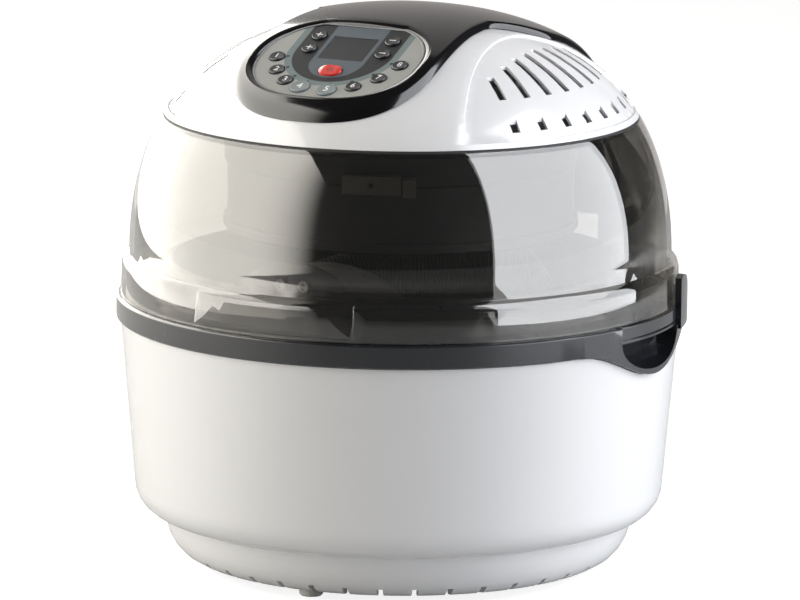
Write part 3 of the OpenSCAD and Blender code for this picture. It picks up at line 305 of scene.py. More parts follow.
finishes = {
    "white": mouldedPlastic("whiteShell", rgb(232, 232, 233), 0.2, 900, 0.00002, coat=0.5),
    "darkGrey": mouldedPlastic("darkGreyPlastic", rgb(27, 29, 33), 0.26, 2600, 0.0001, coat=0.6, mottle=0.1),
    "pianoBlack": mouldedPlastic("pianoBlack", rgb(14, 14, 16), 0.15, 300, 0.000004, coat=0.25, mottle=0.1),
    "window": smokedPlastic(),
    "gasket": mouldedPlastic("gasketRubber", rgb(24, 24, 25), 0.6, 1500, 0.0001),
    "steel": sheetMetal("steelSheet", rgb(196, 197, 199), 0.3),
    "drumSteel": sheetMetal("drumSteel", rgb(150, 151, 153), 0.34, (900, 6, 6)),
    "drumSheet": perforatedSteel(),
    "pot": mouldedPlastic("nonStickCoat", rgb(44, 45, 48), 0.3, 1800, 0.00005, coat=0.3, mottle=0.12),
    "screwSteel": sheetMetal("screwSteel", rgb(170, 171, 174), 0.28, (30, 30, 30)),
    "housing": mouldedPlastic("heatProofBlack", rgb(34, 35, 39), 0.38, 1400, 0.00006, mottle=0.12),
    "quartz": mouldedPlastic("frostedQuartz", rgb(228, 220, 200), 0.35, 700, 0.00003, coat=0.4),
    "motor": sheetMetal("motorMetal", rgb(150, 149, 145), 0.45, (4, 4, 1400), 0.8),
    "fan": sheetMetal("fanAluminium", rgb(186, 188, 190), 0.35, (300, 300, 20)),
    "fanBlack": mouldedPlastic("fanPlastic", rgb(36, 36, 38), 0.4, 900, 0.00005),
    "fascia": printedFascia(),
    "trim": mouldedPlastic("trimGrey", rgb(138, 140, 142), 0.28, 700, 0.00002, coat=0.5),
    "keyBlack": mouldedPlastic("keyBlack", rgb(22, 24, 28), 0.34, 800, 0.00002, coat=0.15, mottle=0.1),
    "keyGrey": mouldedPlastic("keyGrey", rgb(118, 128, 129), 0.36, 800, 0.00002, coat=0.15),
    "keyRed": mouldedPlastic("keyRed", rgb(222, 50, 40), 0.2, 800, 0.00002, coat=0.5, mottle=0.06),
    "display": mouldedPlastic("displayGlass", rgb(26, 27, 32), 0.3, 500, 0.000005, coat=0.1, mottle=0.15),
    "keypad": mouldedPlastic("keypadRubber", rgb(104, 106, 109), 0.55, 1400, 0.0001),
    "board": mouldedPlastic("boardGreen", rgb(34, 92, 48), 0.4, 1100, 0.00005, mottle=0.15),
    "foot": mouldedPlastic("footRubber", rgb(206, 206, 202), 0.6, 1600, 0.0001),
    "markWhite": mouldedPlastic("markWhite", rgb(238, 238, 238), 0.35, 900, 0.00001),
    "markDark": mouldedPlastic("markDark", rgb(40, 20, 20), 0.35, 900, 0.00001),
    "bracket": mouldedPlastic("bracketMetal", rgb(96, 91, 86), 0.4, 600, 0.00003, mottle=0.12),
}
print("stage: finishes made,", len(finishes))

slotOf = {s["node"]: s["material_slot"] for s in frame["record"]["subparts"]}
finishOfSlot = {
    "white_shell": "white", "dark_grey_plastic": "darkGrey", "gloss_black": "pianoBlack",
    "smoked_window": "window", "gasket_black": "gasket", "steel_sheet": "steel",
    "nonstick_pot": "pot", "drum_steel": "drumSteel", "screw_steel": "screwSteel",
    "housing_black": "housing", "heater_glass": "quartz", "motor_metal": "motor",
    "fan_metal": "fan", "fascia_grey": "fascia", "key_black": "keyBlack", "key_grey": "keyGrey",
    "power_red": "keyRed", "display_black": "display", "keypad_rubber": "keypad",
    "board_green": "board", "foot_grey": "foot", "sensor_metal": "bracket",
}
special = {"console_trim": "trim", "cooling_fan": "fanBlack"}  # nodes that differ from their slot
bodyOf = {n: b for b, ns in frame["record"]["behaviour"]["bodies"].items() for n in ns}

# nodes shown as a smooth copy, with the width of the small round on its edges; 0 leaves them sharp
softened = {
    "base_pan": 0.0006, "body_shell": 0.0008, "rim_ring": 0.0006, "release_bar": 0.0006,
    "hinge_base": 0.0012, "hinge_cover": 0.0012, "hinge_arm": 0.0004, "lid_crown": 0.0004,
    "lid_window": 0.0005, "seam_gasket": 0.0, "inner_pot": 0.0002, "heat_shield": 0.0002,
    "heater_housing": 0.0003, "housing_band": 0.0003, "console_trim": 0.0002,
    "control_fascia": 0.0002, "display": 0.0002, "feet": 0.0004, "cord_gland": 0.0004,
    "temperature_sensor": 0.0003, "heating_tube": 0.0, "guard_grille": 0.0, "tube_clips": 0.0002,
    "bearing_hangers": 0.0002, "ear_screws": 0.0002, "hinge_pin": 0.0003, "reflector": 0.0,
    "drum_front_disc": 0.0002, "drum_rear_disc": 0.0002, "hinge_spring": 0.0,
    "key_power": 0.0004,
}


softening = {
    "merge": 0.000004,
    "sliver": 0.000002,
    "smoothAngle": math.radians(24),
    "roundAngle": math.radians(38),
    "roundSteps": 2,
}


def softCopy(name, bevel):
    source = nodes[name]
    work = bmesh.new()
    work.from_mesh(source.data)
    bmesh.ops.remove_doubles(work, verts=work.verts, dist=softening["merge"])
    bmesh.ops.dissolve_degenerate(work, edges=work.edges, dist=softening["sliver"])
    mesh = bpy.data.meshes.new(name + "_soft")
    work.to_mesh(mesh)
    work.free()
    mesh.shade_smooth()
    mesh.set_sharp_from_angle(angle=softening["smoothAngle"])
    piece = bpy.data.objects.new(name + "_soft", mesh)
    scene.collection.objects.link(piece)
    if bevel:
        made = piece.modifiers.new("edges", "BEVEL")
        made.width, made.segments = bevel, softening["roundSteps"]
        made.limit_method, made.angle_limit = "ANGLE", softening["roundAngle"]
        made.harden_normals = True
        made.use_clamp_overlap = True
    finishPiece(piece, finishName(name), bodyOf[name], slotOf[name], name)
    return piece


def finishName(name):
    return special.get(name) or finishOfSlot[slotOf[name]]


def finishPiece(piece, finish, body, slotName, *stoodFor):
    piece.data.materials.clear()
    piece.data.materials.append(finishes[finish])
    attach(piece, body)
    if stoodFor:
        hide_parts(*stoodFor)


for name, piece in nodes.items():
    piece.data.materials.clear()
    piece.data.materials.append(finishes[finishName(name)])
for name, bevel in softened.items():
    softCopy(name, bevel)
print("stage: nodes dressed,", len(softened), "softened")


def newPiece(name, points, faces, smoothAngle=30):
    mesh = bpy.data.meshes.new(name)
    mesh.from_pydata([tuple(p) for p in points], [], faces)
    mesh.validate()
    work = bmesh.new()
    work.from_mesh(mesh)
    bmesh.ops.recalc_face_normals(work, faces=work.faces)
    work.to_mesh(mesh)
    work.free()
    mesh.shade_smooth()
    mesh.set_sharp_from_angle(angle=math.radians(smoothAngle))
    piece = bpy.data.objects.new(name, mesh)
    scene.collection.objects.link(piece)
    return piece


def skinLoops(name, loops, smoothAngle=30):
    # closed loops of equal length, skinned in order, with both ends capped by a fan
    count = len(loops[0])
    points = [p for loop in loops for p in loop]
    faces = []
    for i in range(len(loops) - 1):
        for k in range(count):
            j = (k + 1) % count
            faces.append((i * count + k, i * count + j, (i + 1) * count + j, (i + 1) * count + k))
    for start, order in ((0, -1), ((len(loops) - 1) * count, 1)):
        hub = len(points)
        ring = [points[start + k] for k in range(count)]
        points.append(sum((Vector(p) for p in ring), Vector()) / count)
        for k in range(count):
            pair = (start + k, start + (k + 1) % count)
            faces.append((hub,) + (pair if order > 0 else pair[::-1]))
    return newPiece(name, points, faces, smoothAngle)


def domeLine(off, steps=160):
    # the dome's section, moved outwards by off: radius and height from the side to the top
    line = []
    for i in range(steps + 1):
        t = i / steps
        s = 1 - t
        point, run = [], []
        for a, b, c, d in zip(*oven["domeCurve"]):
            point.append(s ** 3 * a + 3 * s * s * t * b + 3 * s * t * t * c + t ** 3 * d)
            run.append(s * s * (b - a) + 2 * s * t * (c - b) + t * t * (d - c))
        length = math.hypot(*run)
        line.append((point[0] + off * run[1] / length, point[1] - off * run[0] / length))
    return line


domeLines = {}


def domeHeight(radius, off):
    key = round(off, 6)
    if key not in domeLines:
        domeLines[key] = domeLine(off)
    line = domeLines[key]
    for (r0, z0), (r1, z1) in zip(line, line[1:]):
        if r1 <= radius <= r0:
            return z0 + (z1 - z0) * (r0 - radius) / max(1e-9, r0 - r1)
    return line[0][1] if radius > line[0][0] else line[-1][1]


def domeRadius(height, off):
    line = domeLine(off)
    for (r0, z0), (r1, z1) in zip(line, line[1:]):
        if z0 <= height <= z1:
            return r0 + (r1 - r0) * (height - z0) / (z1 - z0)
    return 0.0


consoleLook = {
    "rise": 0.004,  # how far its top and its underside stand off the dome
    "under": 0.0003,
    "noseY": -0.1313,
    "wideY": -0.080,
    "waistY": (-0.002, 0.040),
    "half": 0.062,
    "waistHalf": 0.057,
    "spineHalf": 0.080,
    "rearHeight": 0.252,
    "nosePower": 2.2,
    "edgeRound": 0.0038,
    "lipReach": 0.0034,
    "fasciaHalf": (0.051, 0.0417),
    "fasciaMid": -0.0132,
    "fasciaBack": 0.024,
    "fasciaPower": 2.25,
    "middleY": -0.069,  # where the ways out to the edge start
    # the pocket for the panel: its wall's steps, each a growth of the panel's edge and a height
    "pocket": [(-0.002, -0.0105), (-0.002, -0.002), (0.00035, -0.002), (0.00035, -0.0003)],
    "lipStart": 0.0006,
    "tubGrow": 0.0025,
    "tubHeights": (-0.004, -0.013),
    "steps": {"nose": 44, "waist": 24, "flare": 20, "side": 20, "rear": 16,
              "lip": 6, "top": 40, "edge": 7, "under": 12},
}


def consoleOutline():
    # right half from the nose to the rear, then mirrored, as seen from above
    look = consoleLook
    ease = lambda u: 0.5 - 0.5 * math.cos(math.pi * u)
    wide, waist, spine = look["half"], look["waistHalf"], look["spineHalf"]
    wideY, noseY = look["wideY"], look["noseY"]
    y0, y1 = look["waistY"]
    power = 2 / look["nosePower"]
    steps = look["steps"]
    half = []
    for i in range(steps["nose"] + 1):
        a = math.pi / 2 * i / steps["nose"]
        half.append((wide * math.sin(a) ** power, wideY - (wideY - noseY) * math.cos(a) ** power))
    for i in range(1, steps["waist"] + 1):
        share = i / steps["waist"]
        half.append((wide + (waist - wide) * ease(share), wideY + (y0 - wideY) * share))
    for i in range(1, steps["flare"] + 1):
        share = i / steps["flare"]
        half.append((waist + (spine - waist) * ease(share), y0 + (y1 - y0) * share))
    rear = domeRadius(look["rearHeight"], look["rise"])
    corner = math.sqrt(rear ** 2 - spine ** 2)
    for i in range(1, steps["side"] + 1):
        half.append((spine, y1 + (corner - y1) * i / steps["side"]))
    start = math.atan2(spine, corner)
    for i in range(1, steps["rear"] + 1):
        a = start * (1 - i / steps["rear"])
        half.append((rear * math.sin(a), rear * math.cos(a)))
    return half + [(-x, y) for x, y in half[-2:0:-1]]


def inset(loop, depth):
    # moves a loop in by depth, square to itself
    made = []
    for k, (x, y) in enumerate(loop):
        (ax, ay), (bx, by) = loop[k - 1], loop[(k + 1) % len(loop)]
        dx, dy = bx - ax, by - ay
        length = math.hypot(dx, dy)
        made.append((x - dy / length * depth, y + dx / length * depth))
    return made


def panelPoint(x, y, lift):
    # panel coordinates to the row frame
    c, s = math.cos(oven["panelTilt"]), math.sin(oven["panelTilt"])
    centre = oven["panelCentre"]
    return Vector((x, centre.y + y * c - lift * s, centre.z + y * s + lift * c))


def fasciaPoint(way, grow):
    # the oval's edge in one direction from its middle, with the straight back edge
    look = consoleLook
    a, b = (v + grow for v in look["fasciaHalf"])
    p = look["fasciaPower"]
    reach = (abs(way[0] / a) ** p + abs(way[1] / b) ** p) ** (-1 / p)
    x, y = way[0] * reach, way[1] * reach
    back = look["fasciaBack"] + grow - look["fasciaMid"]
    if y > back:
        x, y = x * back / y, back
    return x, y + look["fasciaMid"]


def between(first, last, share):
    # two loops of plan points, mixed point by point
    return [(a[0] + (b[0] - a[0]) * share, a[1] + (b[1] - a[1]) * share) for a, b in zip(first, last)]


def makeConsole():
    look = consoleLook
    outline = consoleOutline()
    level = math.cos(oven["panelTilt"])
    centreY = look["middleY"] + look["fasciaMid"] * level
    ways = []
    for x, y in outline:
        dx, dy = x, (y - centreY) / level
        length = math.hypot(dx, dy)
        ways.append((dx / length, dy / length))

    def onPanel(grow, lift):
        return [panelPoint(*fasciaPoint(w, grow), lift) for w in ways]

    def onDome(loop, off):
        return [Vector((x, y + oven["axisY"], domeHeight(math.hypot(x, y), off))) for x, y in loop]

    def plan(points):
        return [(p.x, p.y - oven["axisY"]) for p in points]

    # up the pocket's wall, over the rounded lip, out over the dome, round the edge and back below
    loops = [onPanel(*step) for step in look["pocket"]]
    start, reach, steps = look["lipStart"], look["lipReach"], look["steps"]
    for i in range(steps["lip"] + 1):
        a = math.pi / 2 * i / steps["lip"]
        ring = []
        for w in ways:
            flat = panelPoint(*fasciaPoint(w, start + reach * (1 - math.cos(a))), 0)
            edge = panelPoint(*fasciaPoint(w, start + reach), 0)
            lip = (domeHeight(math.hypot(edge.x, edge.y - oven["axisY"]), look["rise"]) - edge.z) * level
            ring.append(flat + panelPoint(0, 0, lip * math.sin(a)) - panelPoint(0, 0, 0))
        loops.append(ring)
    crest = plan(loops[-1])
    rim = inset(outline, look["edgeRound"])
    for i in range(1, steps["top"] + 1):
        loops.append(onDome(between(crest, rim, i / steps["top"]), look["rise"]))
    for i in range(1, steps["edge"] + 1):
        a = math.pi / 2 * i / steps["edge"]
        drop = (look["rise"] - look["under"]) * (1 - math.cos(a))
        loops.append(onDome(inset(outline, look["edgeRound"] * (1 - math.sin(a))), look["rise"] - drop))
    tub = plan(onPanel(look["tubGrow"], look["tubHeights"][0]))
    for i in range(1, steps["under"] + 1):
        loops.append(onDome(between(outline, tub, i / steps["under"]), look["under"]))
    loops.append(onPanel(look["tubGrow"], look["tubHeights"][1]))
    piece = skinLoops("console_shell", loops, 35)
    finishPiece(piece, "pianoBlack", "lid", "gloss_black", "console")


makeConsole()
print("stage: console made")


def perforatedCell(width):
    # one hexagon of sheet with a hole through it; its outer face looks along +Z
    look = drumSheet
    tall = width / math.sqrt(3)
    angles = [math.pi / 3 * k for k in range(6)]
    corners = [Vector((math.sin(a) * tall, math.cos(a) * tall, 0)) for a in angles]
    points, faces = [], []
    for level in (0.0, -look["thick"]):
        points += [c + Vector((0, 0, level)) for c in corners]
        points += [c * look["holeShare"] + Vector((0, 0, level)) for c in corners]
    for k in range(6):
        j = (k + 1) % 6
        faces.append((j, k, 6 + k, 6 + j))
        faces.append((12 + k, 12 + j, 18 + j, 18 + k))
        faces.append((6 + j, 6 + k, 18 + k, 18 + j))
    mesh = bpy.data.meshes.new("perforatedCell")
    mesh.from_pydata([tuple(p) for p in points], [], faces)
    cell = bpy.data.objects.new("perforatedCell", mesh)
    scene.collection.objects.link(cell)
    return cell


class Nodes:
    # a Geometry Nodes tree with named inputs
    def __init__(self, name, inputs):
        self.tree = bpy.data.node_groups.new(name, "GeometryNodeTree")
        face = self.tree.interface
        face.new_socket("Geometry", in_out="INPUT", socket_type="NodeSocketGeometry")
        self.ids = {}
        for label, (kind, value) in inputs.items():
            made = face.new_socket(label, in_out="INPUT", socket_type="NodeSocket" + kind)
            self.ids[label] = made.identifier
            if value is not None:
                made.default_value = value
        face.new_socket("Geometry", in_out="OUTPUT", socket_type="NodeSocketGeometry")
        self.inputs = self.tree.nodes.new("NodeGroupInput").outputs
        self.out = self.tree.nodes.new("NodeGroupOutput")

    def add(self, kind, settings=None, sockets=None):
        made = self.tree.nodes.new(kind)
        for key, value in (settings or {}).items():
            setattr(made, key, value)
        for key, value in (sockets or {}).items():
            if isinstance(value, bpy.types.NodeSocket):
                self.tree.links.new(value, made.inputs[key])
            else:
                made.inputs[key].default_value = value
        return made

    def maths(self, operation, first, second=0.0):
        return self.add("ShaderNodeMath", {"operation": operation}, {0: first, 1: second}).outputs[0]


def drumTree(cell):
    # rows of cells round the drum's axis, each second row turned by half a cell
    made = Nodes("perforatedSheet", {
        "Around": ("Int", 158), "Rows": ("Int", 20), "Radius": ("Float", 0.07),
        "Start": ("Float", 0.0), "Row Pitch": ("Float", 0.0024), "First Row": ("Int", 0)})
    src = made.inputs
    total = made.maths("MULTIPLY", src["Around"], src["Rows"])
    index = made.add("GeometryNodeInputIndex").outputs[0]
    row = made.maths("FLOOR", made.maths("DIVIDE", index, src["Around"]))
    column = made.maths("SUBTRACT", index, made.maths("MULTIPLY", row, src["Around"]))
    odd = made.maths("MODULO", made.maths("ADD", row, src["First Row"]), 2.0)
    shifted = made.maths("ADD", column, made.maths("MULTIPLY", odd, 0.5))
    turn = made.maths("DIVIDE", made.maths("MULTIPLY", shifted, math.tau), src["Around"])
    place = made.add("ShaderNodeCombineXYZ", None, {
        0: made.maths("MULTIPLY", made.maths("SINE", turn), src["Radius"]),
        1: made.maths("ADD", src["Start"], made.maths("MULTIPLY", row, src["Row Pitch"])),
        2: made.maths("MULTIPLY", made.maths("COSINE", turn), src["Radius"])}).outputs[0]
    points = made.add("GeometryNodePoints", None, {"Count": total, "Position": place}).outputs[0]
    spin = made.add("ShaderNodeCombineXYZ", None, {1: turn}).outputs[0]
    single = made.add("GeometryNodeObjectInfo", None, {"Object": cell}).outputs["Geometry"]
    placed = made.add("GeometryNodeInstanceOnPoints", None, {
        "Points": points, "Instance": single, "Rotation": spin}).outputs[0]
    real = made.add("GeometryNodeRealizeInstances", None, {0: placed}).outputs[0]
    whole = made.add("GeometryNodeMergeByDistance", None, {
        "Geometry": real, "Distance": drumSheet["merge"]}).outputs[0]
    given = made.add("GeometryNodeSetMaterial", None, {
        "Geometry": whole, "Material": finishes["drumSheet"]}).outputs[0]
    made.tree.links.new(given, made.out.inputs[0])
    return made


def closeBand(mesh):
    # joins the sheet's outer and inner face along both of the band's zigzag ends
    work = bmesh.new()
    work.from_mesh(mesh)
    middle = (min(v.co.y for v in work.verts) + max(v.co.y for v in work.verts)) / 2
    loose = [e for e in work.edges if len(e.link_faces) == 1]
    for side in (1, -1):
        bmesh.ops.bridge_loops(work, edges=[e for e in loose if (e.verts[0].co.y - middle) * side > 0])
    bmesh.ops.recalc_face_normals(work, faces=work.faces)
    work.to_mesh(mesh)
    work.free()


def makeDrum():
    look = drumSheet
    around = int(math.tau * look["radius"] / look["pitch"])
    width = math.tau * look["radius"] / around
    rowPitch = width * math.sqrt(3) / 2
    rows = int(2 * look["halfLength"] / rowPitch) // look["bands"] * look["bands"]
    rowPitch = 2 * look["halfLength"] / (rows + look["ends"])
    cell = perforatedCell(width)
    tree = drumTree(cell)
    inBand = rows // look["bands"]
    for band in range(look["bands"]):
        host = bpy.data.objects.new("drum_sheet_host", bpy.data.meshes.new("host"))
        scene.collection.objects.link(host)
        wrap = host.modifiers.new("sheet", "NODES")
        wrap.node_group = tree.tree
        first = band * inBand
        values = {
            "Around": around, "Rows": inBand, "Radius": look["radius"], "Row Pitch": rowPitch,
            "Start": -look["halfLength"] + (first + look["firstRow"]) * rowPitch, "First Row": first % 2}
        for label, value in values.items():
            wrap[tree.ids[label]] = value
        shape = host.evaluated_get(bpy.context.evaluated_depsgraph_get())
        mesh = bpy.data.meshes.new_from_object(shape)
        closeBand(mesh)
        mesh.transform(Matrix.Translation((0, oven["axisY"], look["height"])))
        bpy.data.objects.remove(host)
        piece = bpy.data.objects.new("drum_sheet_" + str(band + 1), mesh)
        scene.collection.objects.link(piece)
        stoodFor = ["drum_wall"] if band == 0 else []
        finishPiece(piece, "drumSheet", "drum", "drum_steel", *stoodFor)
    bpy.data.objects.remove(cell)


makeDrum()
print("stage: drum made")


keyMarks = {
    "top": 0.00113,
    "sunk": 0.0002,
    "digitHeight": 0.0046,
    "bigDigitHeight": 0.0054,
    "digitScale": 1.35,  # type size over the height of a digit
    "merge": 0.000002,
    "barLength": 0.0044,
    "barWidth": 0.0006,
    "ringRadius": 0.041,  # the preset keys stand on this ring of the panel
    "ringY": -0.004,
    "stepKeys": {  # the mark's place on the panel, and whether it is a plus
        "key_temp_up": (-0.024, 0.011, True), "key_time_up": (-0.024, -0.003, True),
        "key_temp_down": (0.024, 0.011, False), "key_time_down": (0.024, -0.003, False)},
    "power": {"x": 0, "y": -0.0245, "radius": 0.0021, "inner": 0.72, "gap": 84, "barLength": 1.2,
              "barWidth": 0.28, "barRise": 0.7, "steps": 22},
}


def placeOnPanel(mesh, x, y, lift):
    centre = panelPoint(x, y, lift)
    mesh.transform(Matrix.Translation(centre) @ Matrix.Rotation(oven["panelTilt"], 4, "X"))


def markPiece(name, mesh, x, y, finish, body):
    placeOnPanel(mesh, x, y, keyMarks["top"] - keyMarks["sunk"])
    piece = bpy.data.objects.new(name, mesh)
    scene.collection.objects.link(piece)
    finishPiece(piece, finish, body, slotOf[body])


def raisedOutline(name, outlines):
    # flat outlines, each a list of points that runs anticlockwise, raised by the mark's thickness
    points, faces = [], []
    for outline in outlines:
        start, count = len(points), len(outline)
        points += [(x, y, level) for level in (0, keyMarks["sunk"]) for x, y in outline]
        low = list(range(start, start + count))
        high = [k + count for k in low]
        faces += [low[::-1], high]
        faces += [(low[k - 1], low[k], high[k], high[k - 1]) for k in range(count)]
    mesh = bpy.data.meshes.new(name)
    mesh.from_pydata(points, [], faces)
    return mesh


def bar(length, width, turn=0.0, x=0.0, y=0.0):
    c, s = math.cos(turn), math.sin(turn)
    a, b = length / 2, width / 2
    return [(x + u * c - v * s, y + u * s + v * c) for u, v in ((-a, -b), (a, -b), (a, b), (-a, b))]


def digitMesh(name, text, height):
    curve = bpy.data.curves.new(name, "FONT")
    curve.body = text
    curve.align_x, curve.align_y = "CENTER", "CENTER"
    curve.size = height * keyMarks["digitScale"]
    curve.extrude = keyMarks["sunk"] / 2
    curve.resolution_u = 3
    holder = bpy.data.objects.new(name, curve)
    scene.collection.objects.link(holder)
    mesh = bpy.data.meshes.new_from_object(holder.evaluated_get(bpy.context.evaluated_depsgraph_get()))
    bpy.data.objects.remove(holder)
    mesh.transform(Matrix.Translation((0, 0, keyMarks["sunk"] / 2)))
    work = bmesh.new()
    work.from_mesh(mesh)
    bmesh.ops.remove_doubles(work, verts=work.verts, dist=keyMarks["merge"])
    bmesh.ops.recalc_face_normals(work, faces=work.faces)
    work.to_mesh(mesh)
    work.free()
    return mesh


def makeMarks():
    look = keyMarks
    for number, angle in enumerate(fasciaPrint["dotAngles"], 1):
        a = math.radians(angle)
        x, y = look["ringRadius"] * math.cos(a), look["ringY"] + look["ringRadius"] * math.sin(a)
        height = look["bigDigitHeight"] if number in (4, 5) else look["digitHeight"]
        mesh = digitMesh(f"digit_{number}", str(number), height)
        markPiece(f"digit_{number}", mesh, x, y, "markWhite", f"key_{number}")

    long, wide = look["barLength"], look["barWidth"]
    level = bar(long, wide)
    arms = [bar((long - wide) / 2, wide, math.pi / 2, 0, side * (long + wide) / 4) for side in (1, -1)]
    for body, (x, y, plus) in look["stepKeys"].items():
        outlines = [level, *arms] if plus else [level]
        markPiece("mark_" + body[4:], raisedOutline(body, outlines), x, y, "markWhite", body)

    power = look["power"]
    r, inner, gap = power["radius"], power["inner"], power["gap"]
    turns = [math.radians(90 + gap / 2 + (360 - gap) * k / power["steps"]) for k in range(power["steps"] + 1)]
    ring = [(math.cos(a) * r, math.sin(a) * r) for a in turns]
    ring += [(math.cos(a) * r * inner, math.sin(a) * r * inner) for a in reversed(turns)]
    upright = bar(r * power["barLength"], r * power["barWidth"], math.pi / 2, 0, r * power["barRise"])
    mesh = raisedOutline("power", [ring, upright])
    markPiece("mark_power", mesh, power["x"], power["y"], "markDark", "key_power")


makeMarks()
print("stage: marks made")

cool, warm, neutral, rosy = (0.94, 0.96, 1.0), (1.0, 0.97, 0.9), (1.0, 0.98, 0.96), (1.0, 0.95, 0.92)

studio = {
    "distance": 4.0,
    "azimuth": math.radians(27),
    "elevation": math.radians(10.8),
    "pixelsPerMetre": 1682.0,
    "aim": Vector((0, -0.012, 0.1569)),
    "roll": math.radians(0.5),
    "ambient": 0.06,
    "ambientMirrored": 0.05,
    "floorGlow": 0.85,
    "floorMirrored": 0.12,
    "floorHalf": 9,
    "photoWidth": 800,
    # upright soft boxes: kind, degrees from the camera towards its right, distance, width, height,
    # radiance and colour, and the share of the width over which one side dies away
    "softBoxes": {
        "mirrorRight": ("mirrored", 73, 1.4, 1.95, 2.4, 5.0, cool, 0.0),
        "mirrorLeft": ("mirrored", -103, 1.4, 7.0, 2.4, 4.6, warm, -0.36),
        "mirrorRear": ("mirrored", 180, 1.5, 1.6, 2.6, 0.4, rosy, 0.0),
        "plainRight": ("plain", 84, 1.4, 1.9, 1.6, 4.6, cool, 0.0),
        "plainLeft": ("plain", -86, 1.4, 1.9, 1.6, 3.8, warm, 0.0),
        "plainAbove": ("plain", 0, 0, 2.4, 2.4, 0.62, neutral, 0.0),
    },
    "aboveHeight": 2.1,
}


def cameraAxes():
    a, e = studio["azimuth"], studio["elevation"]
    back = Vector((math.sin(a) * math.cos(e), -math.cos(a) * math.cos(e), math.sin(e)))
    right = Vector((math.cos(a), math.sin(a), 0))
    return right, back.cross(right), back


def fadeLamp(lamp, fade):
    # the lamp dies away towards one side, over this share of its width
    lamp.use_nodes = True
    tree = lamp.node_tree
    place = tree.nodes.new("ShaderNodeNewGeometry")
    parts = tree.nodes.new("ShaderNodeSeparateXYZ")
    ramp = tree.nodes.new("ShaderNodeMapRange")
    ramp.interpolation_type = "SMOOTHSTEP"
    tree.links.new(place.outputs["Parametric"], parts.inputs[0])
    tree.links.new(parts.outputs[0], ramp.inputs[0])
    ramp.inputs[1].default_value = 0.0 if fade > 0 else 1.0
    ramp.inputs[2].default_value = fade if fade > 0 else 1.0 + fade
    emission = next(n for n in tree.nodes if n.type == "EMISSION")
    tree.links.new(ramp.outputs[0], emission.inputs["Strength"])


def softBox(name, kind, degrees, distance, width, top, radiance, colour, fade):
    # "mirrored" boxes only show as images in gloss, "plain" ones only give soft light. The box dies
    # away towards its first side, or towards its last where fade is negative.
    azimuth = math.radians(degrees)
    right, _, back = cameraAxes()
    level = Vector((back.x, back.y, 0)).normalized()
    way = level * math.cos(azimuth) + right * math.sin(azimuth)
    lamp = bpy.data.lights.new(name, "AREA")
    lamp.shape, lamp.size, lamp.size_y = "RECTANGLE", width, top
    lamp.energy = radiance * width * top * math.pi
    lamp.color = colour
    lamp.cycles.use_multiple_importance_sampling = kind == "mirrored"
    if fade:
        fadeLamp(lamp, fade)
    made = bpy.data.objects.new(name, lamp)
    made.visible_camera = False
    made.visible_glossy = kind == "mirrored"
    made.visible_diffuse = kind == "plain"
    place = Vector((way.x * distance, way.y * distance + oven["axisY"], top / 2))
    made.matrix_world = Matrix.Translation(place) @ way.to_track_quat("Z", "Y").to_matrix().to_4x4()
    scene.collection.objects.link(made)
    return made


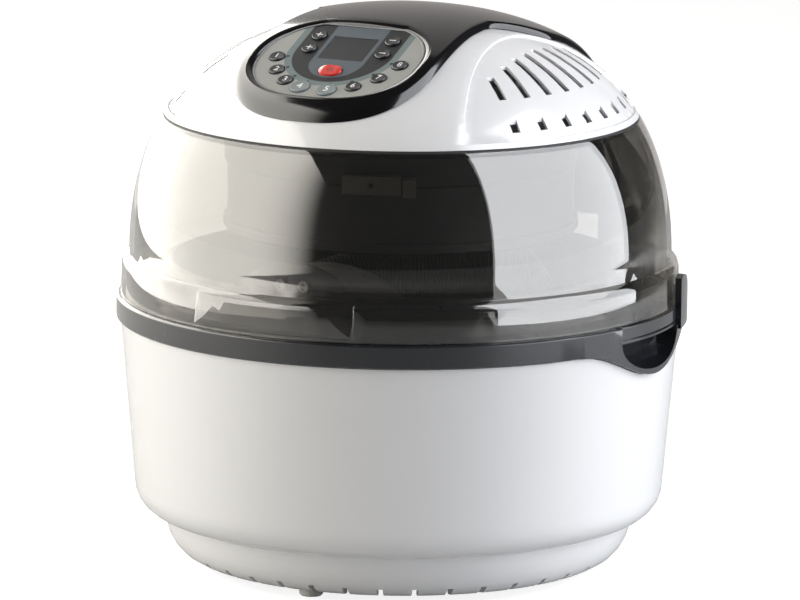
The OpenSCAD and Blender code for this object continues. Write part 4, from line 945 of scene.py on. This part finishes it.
def makeStage():
    right, up, back = cameraAxes()
    camera = bpy.data.objects.new("camera", bpy.data.cameras.new("camera"))
    camera.data.sensor_width = 36
    camera.data.lens = studio["pixelsPerMetre"] * studio["distance"] * 36 / studio["photoWidth"]
    camera.data.clip_end = 50
    turned = Matrix.Rotation(studio["roll"], 3, back)
    axes = Matrix((turned @ right, turned @ up, turned @ back)).transposed()
    camera.matrix_world = Matrix.Translation(studio["aim"] + back * studio["distance"]) @ axes.to_4x4()
    scene.collection.objects.link(camera)
    scene.camera = camera
    scene.view_settings.view_transform = "Standard"

    floor = bpy.data.objects.new("floor", bpy.data.meshes.new("floor"))
    w = studio["floorHalf"]
    floor.data.from_pydata([(-w, -w, 0), (w, -w, 0), (w, w, 0), (-w, w, 0)], [], [(0, 1, 2, 3)])
    scene.collection.objects.link(floor)
    f = Finish("paleFloor")
    path = f.add("ShaderNodeLightPath").outputs
    seen = Value(f, path["Is Camera Ray"]).most(Value(f, path["Is Transmission Ray"]))
    seen = seen.most(Value(f, path["Is Glossy Ray"]) * studio["floorMirrored"])
    grain = f.noise(4.0, 2.0)
    lit = f.principled(Base_Color=f.blend(grain, (0.33, 0.33, 0.33, 1), (0.36, 0.36, 0.36, 1)), Roughness=0.7)
    glow = f.add("ShaderNodeEmission", None, {
        "Color": (1, 1, 1, 1), "Strength": seen * studio["floorGlow"]}).outputs[0]
    floor.data.materials.append(f.done(f.add("ShaderNodeAddShader", None, {0: lit, 1: glow}).outputs[0]))

    world = bpy.data.worlds.new("studio")
    scene.world = world
    world.use_nodes = True
    tree = world.node_tree
    tree.nodes.clear()
    path = tree.nodes.new("ShaderNodeLightPath")
    seenBy = tree.nodes.new("ShaderNodeMath")
    seenBy.operation = "MAXIMUM"
    tree.links.new(path.outputs["Is Camera Ray"], seenBy.inputs[0])
    tree.links.new(path.outputs["Is Transmission Ray"], seenBy.inputs[1])
    plain, mirrored, bright = [tree.nodes.new("ShaderNodeBackground") for _ in range(3)]
    plain.inputs[1].default_value = studio["ambient"]
    mirrored.inputs[1].default_value = studio["ambientMirrored"]
    bright.inputs[1].default_value = 1.0
    for made in (plain, mirrored, bright):
        made.inputs[0].default_value = (1, 1, 1, 1)
    unseen, mixed = [tree.nodes.new("ShaderNodeMixShader") for _ in range(2)]
    tree.links.new(path.outputs["Is Glossy Ray"], unseen.inputs[0])
    tree.links.new(plain.outputs[0], unseen.inputs[1])
    tree.links.new(mirrored.outputs[0], unseen.inputs[2])
    tree.links.new(seenBy.outputs[0], mixed.inputs[0])
    tree.links.new(unseen.outputs[0], mixed.inputs[1])
    tree.links.new(bright.outputs[0], mixed.inputs[2])
    out = tree.nodes.new("ShaderNodeOutputWorld")
    tree.links.new(mixed.outputs[0], out.inputs[0])

    for name, settings in studio["softBoxes"].items():
        softBox(name, *settings)
    bpy.data.objects["plainAbove"].matrix_world = Matrix.Translation((0, 0, studio["aboveHeight"]))


makeStage()
print("stage: studio set")
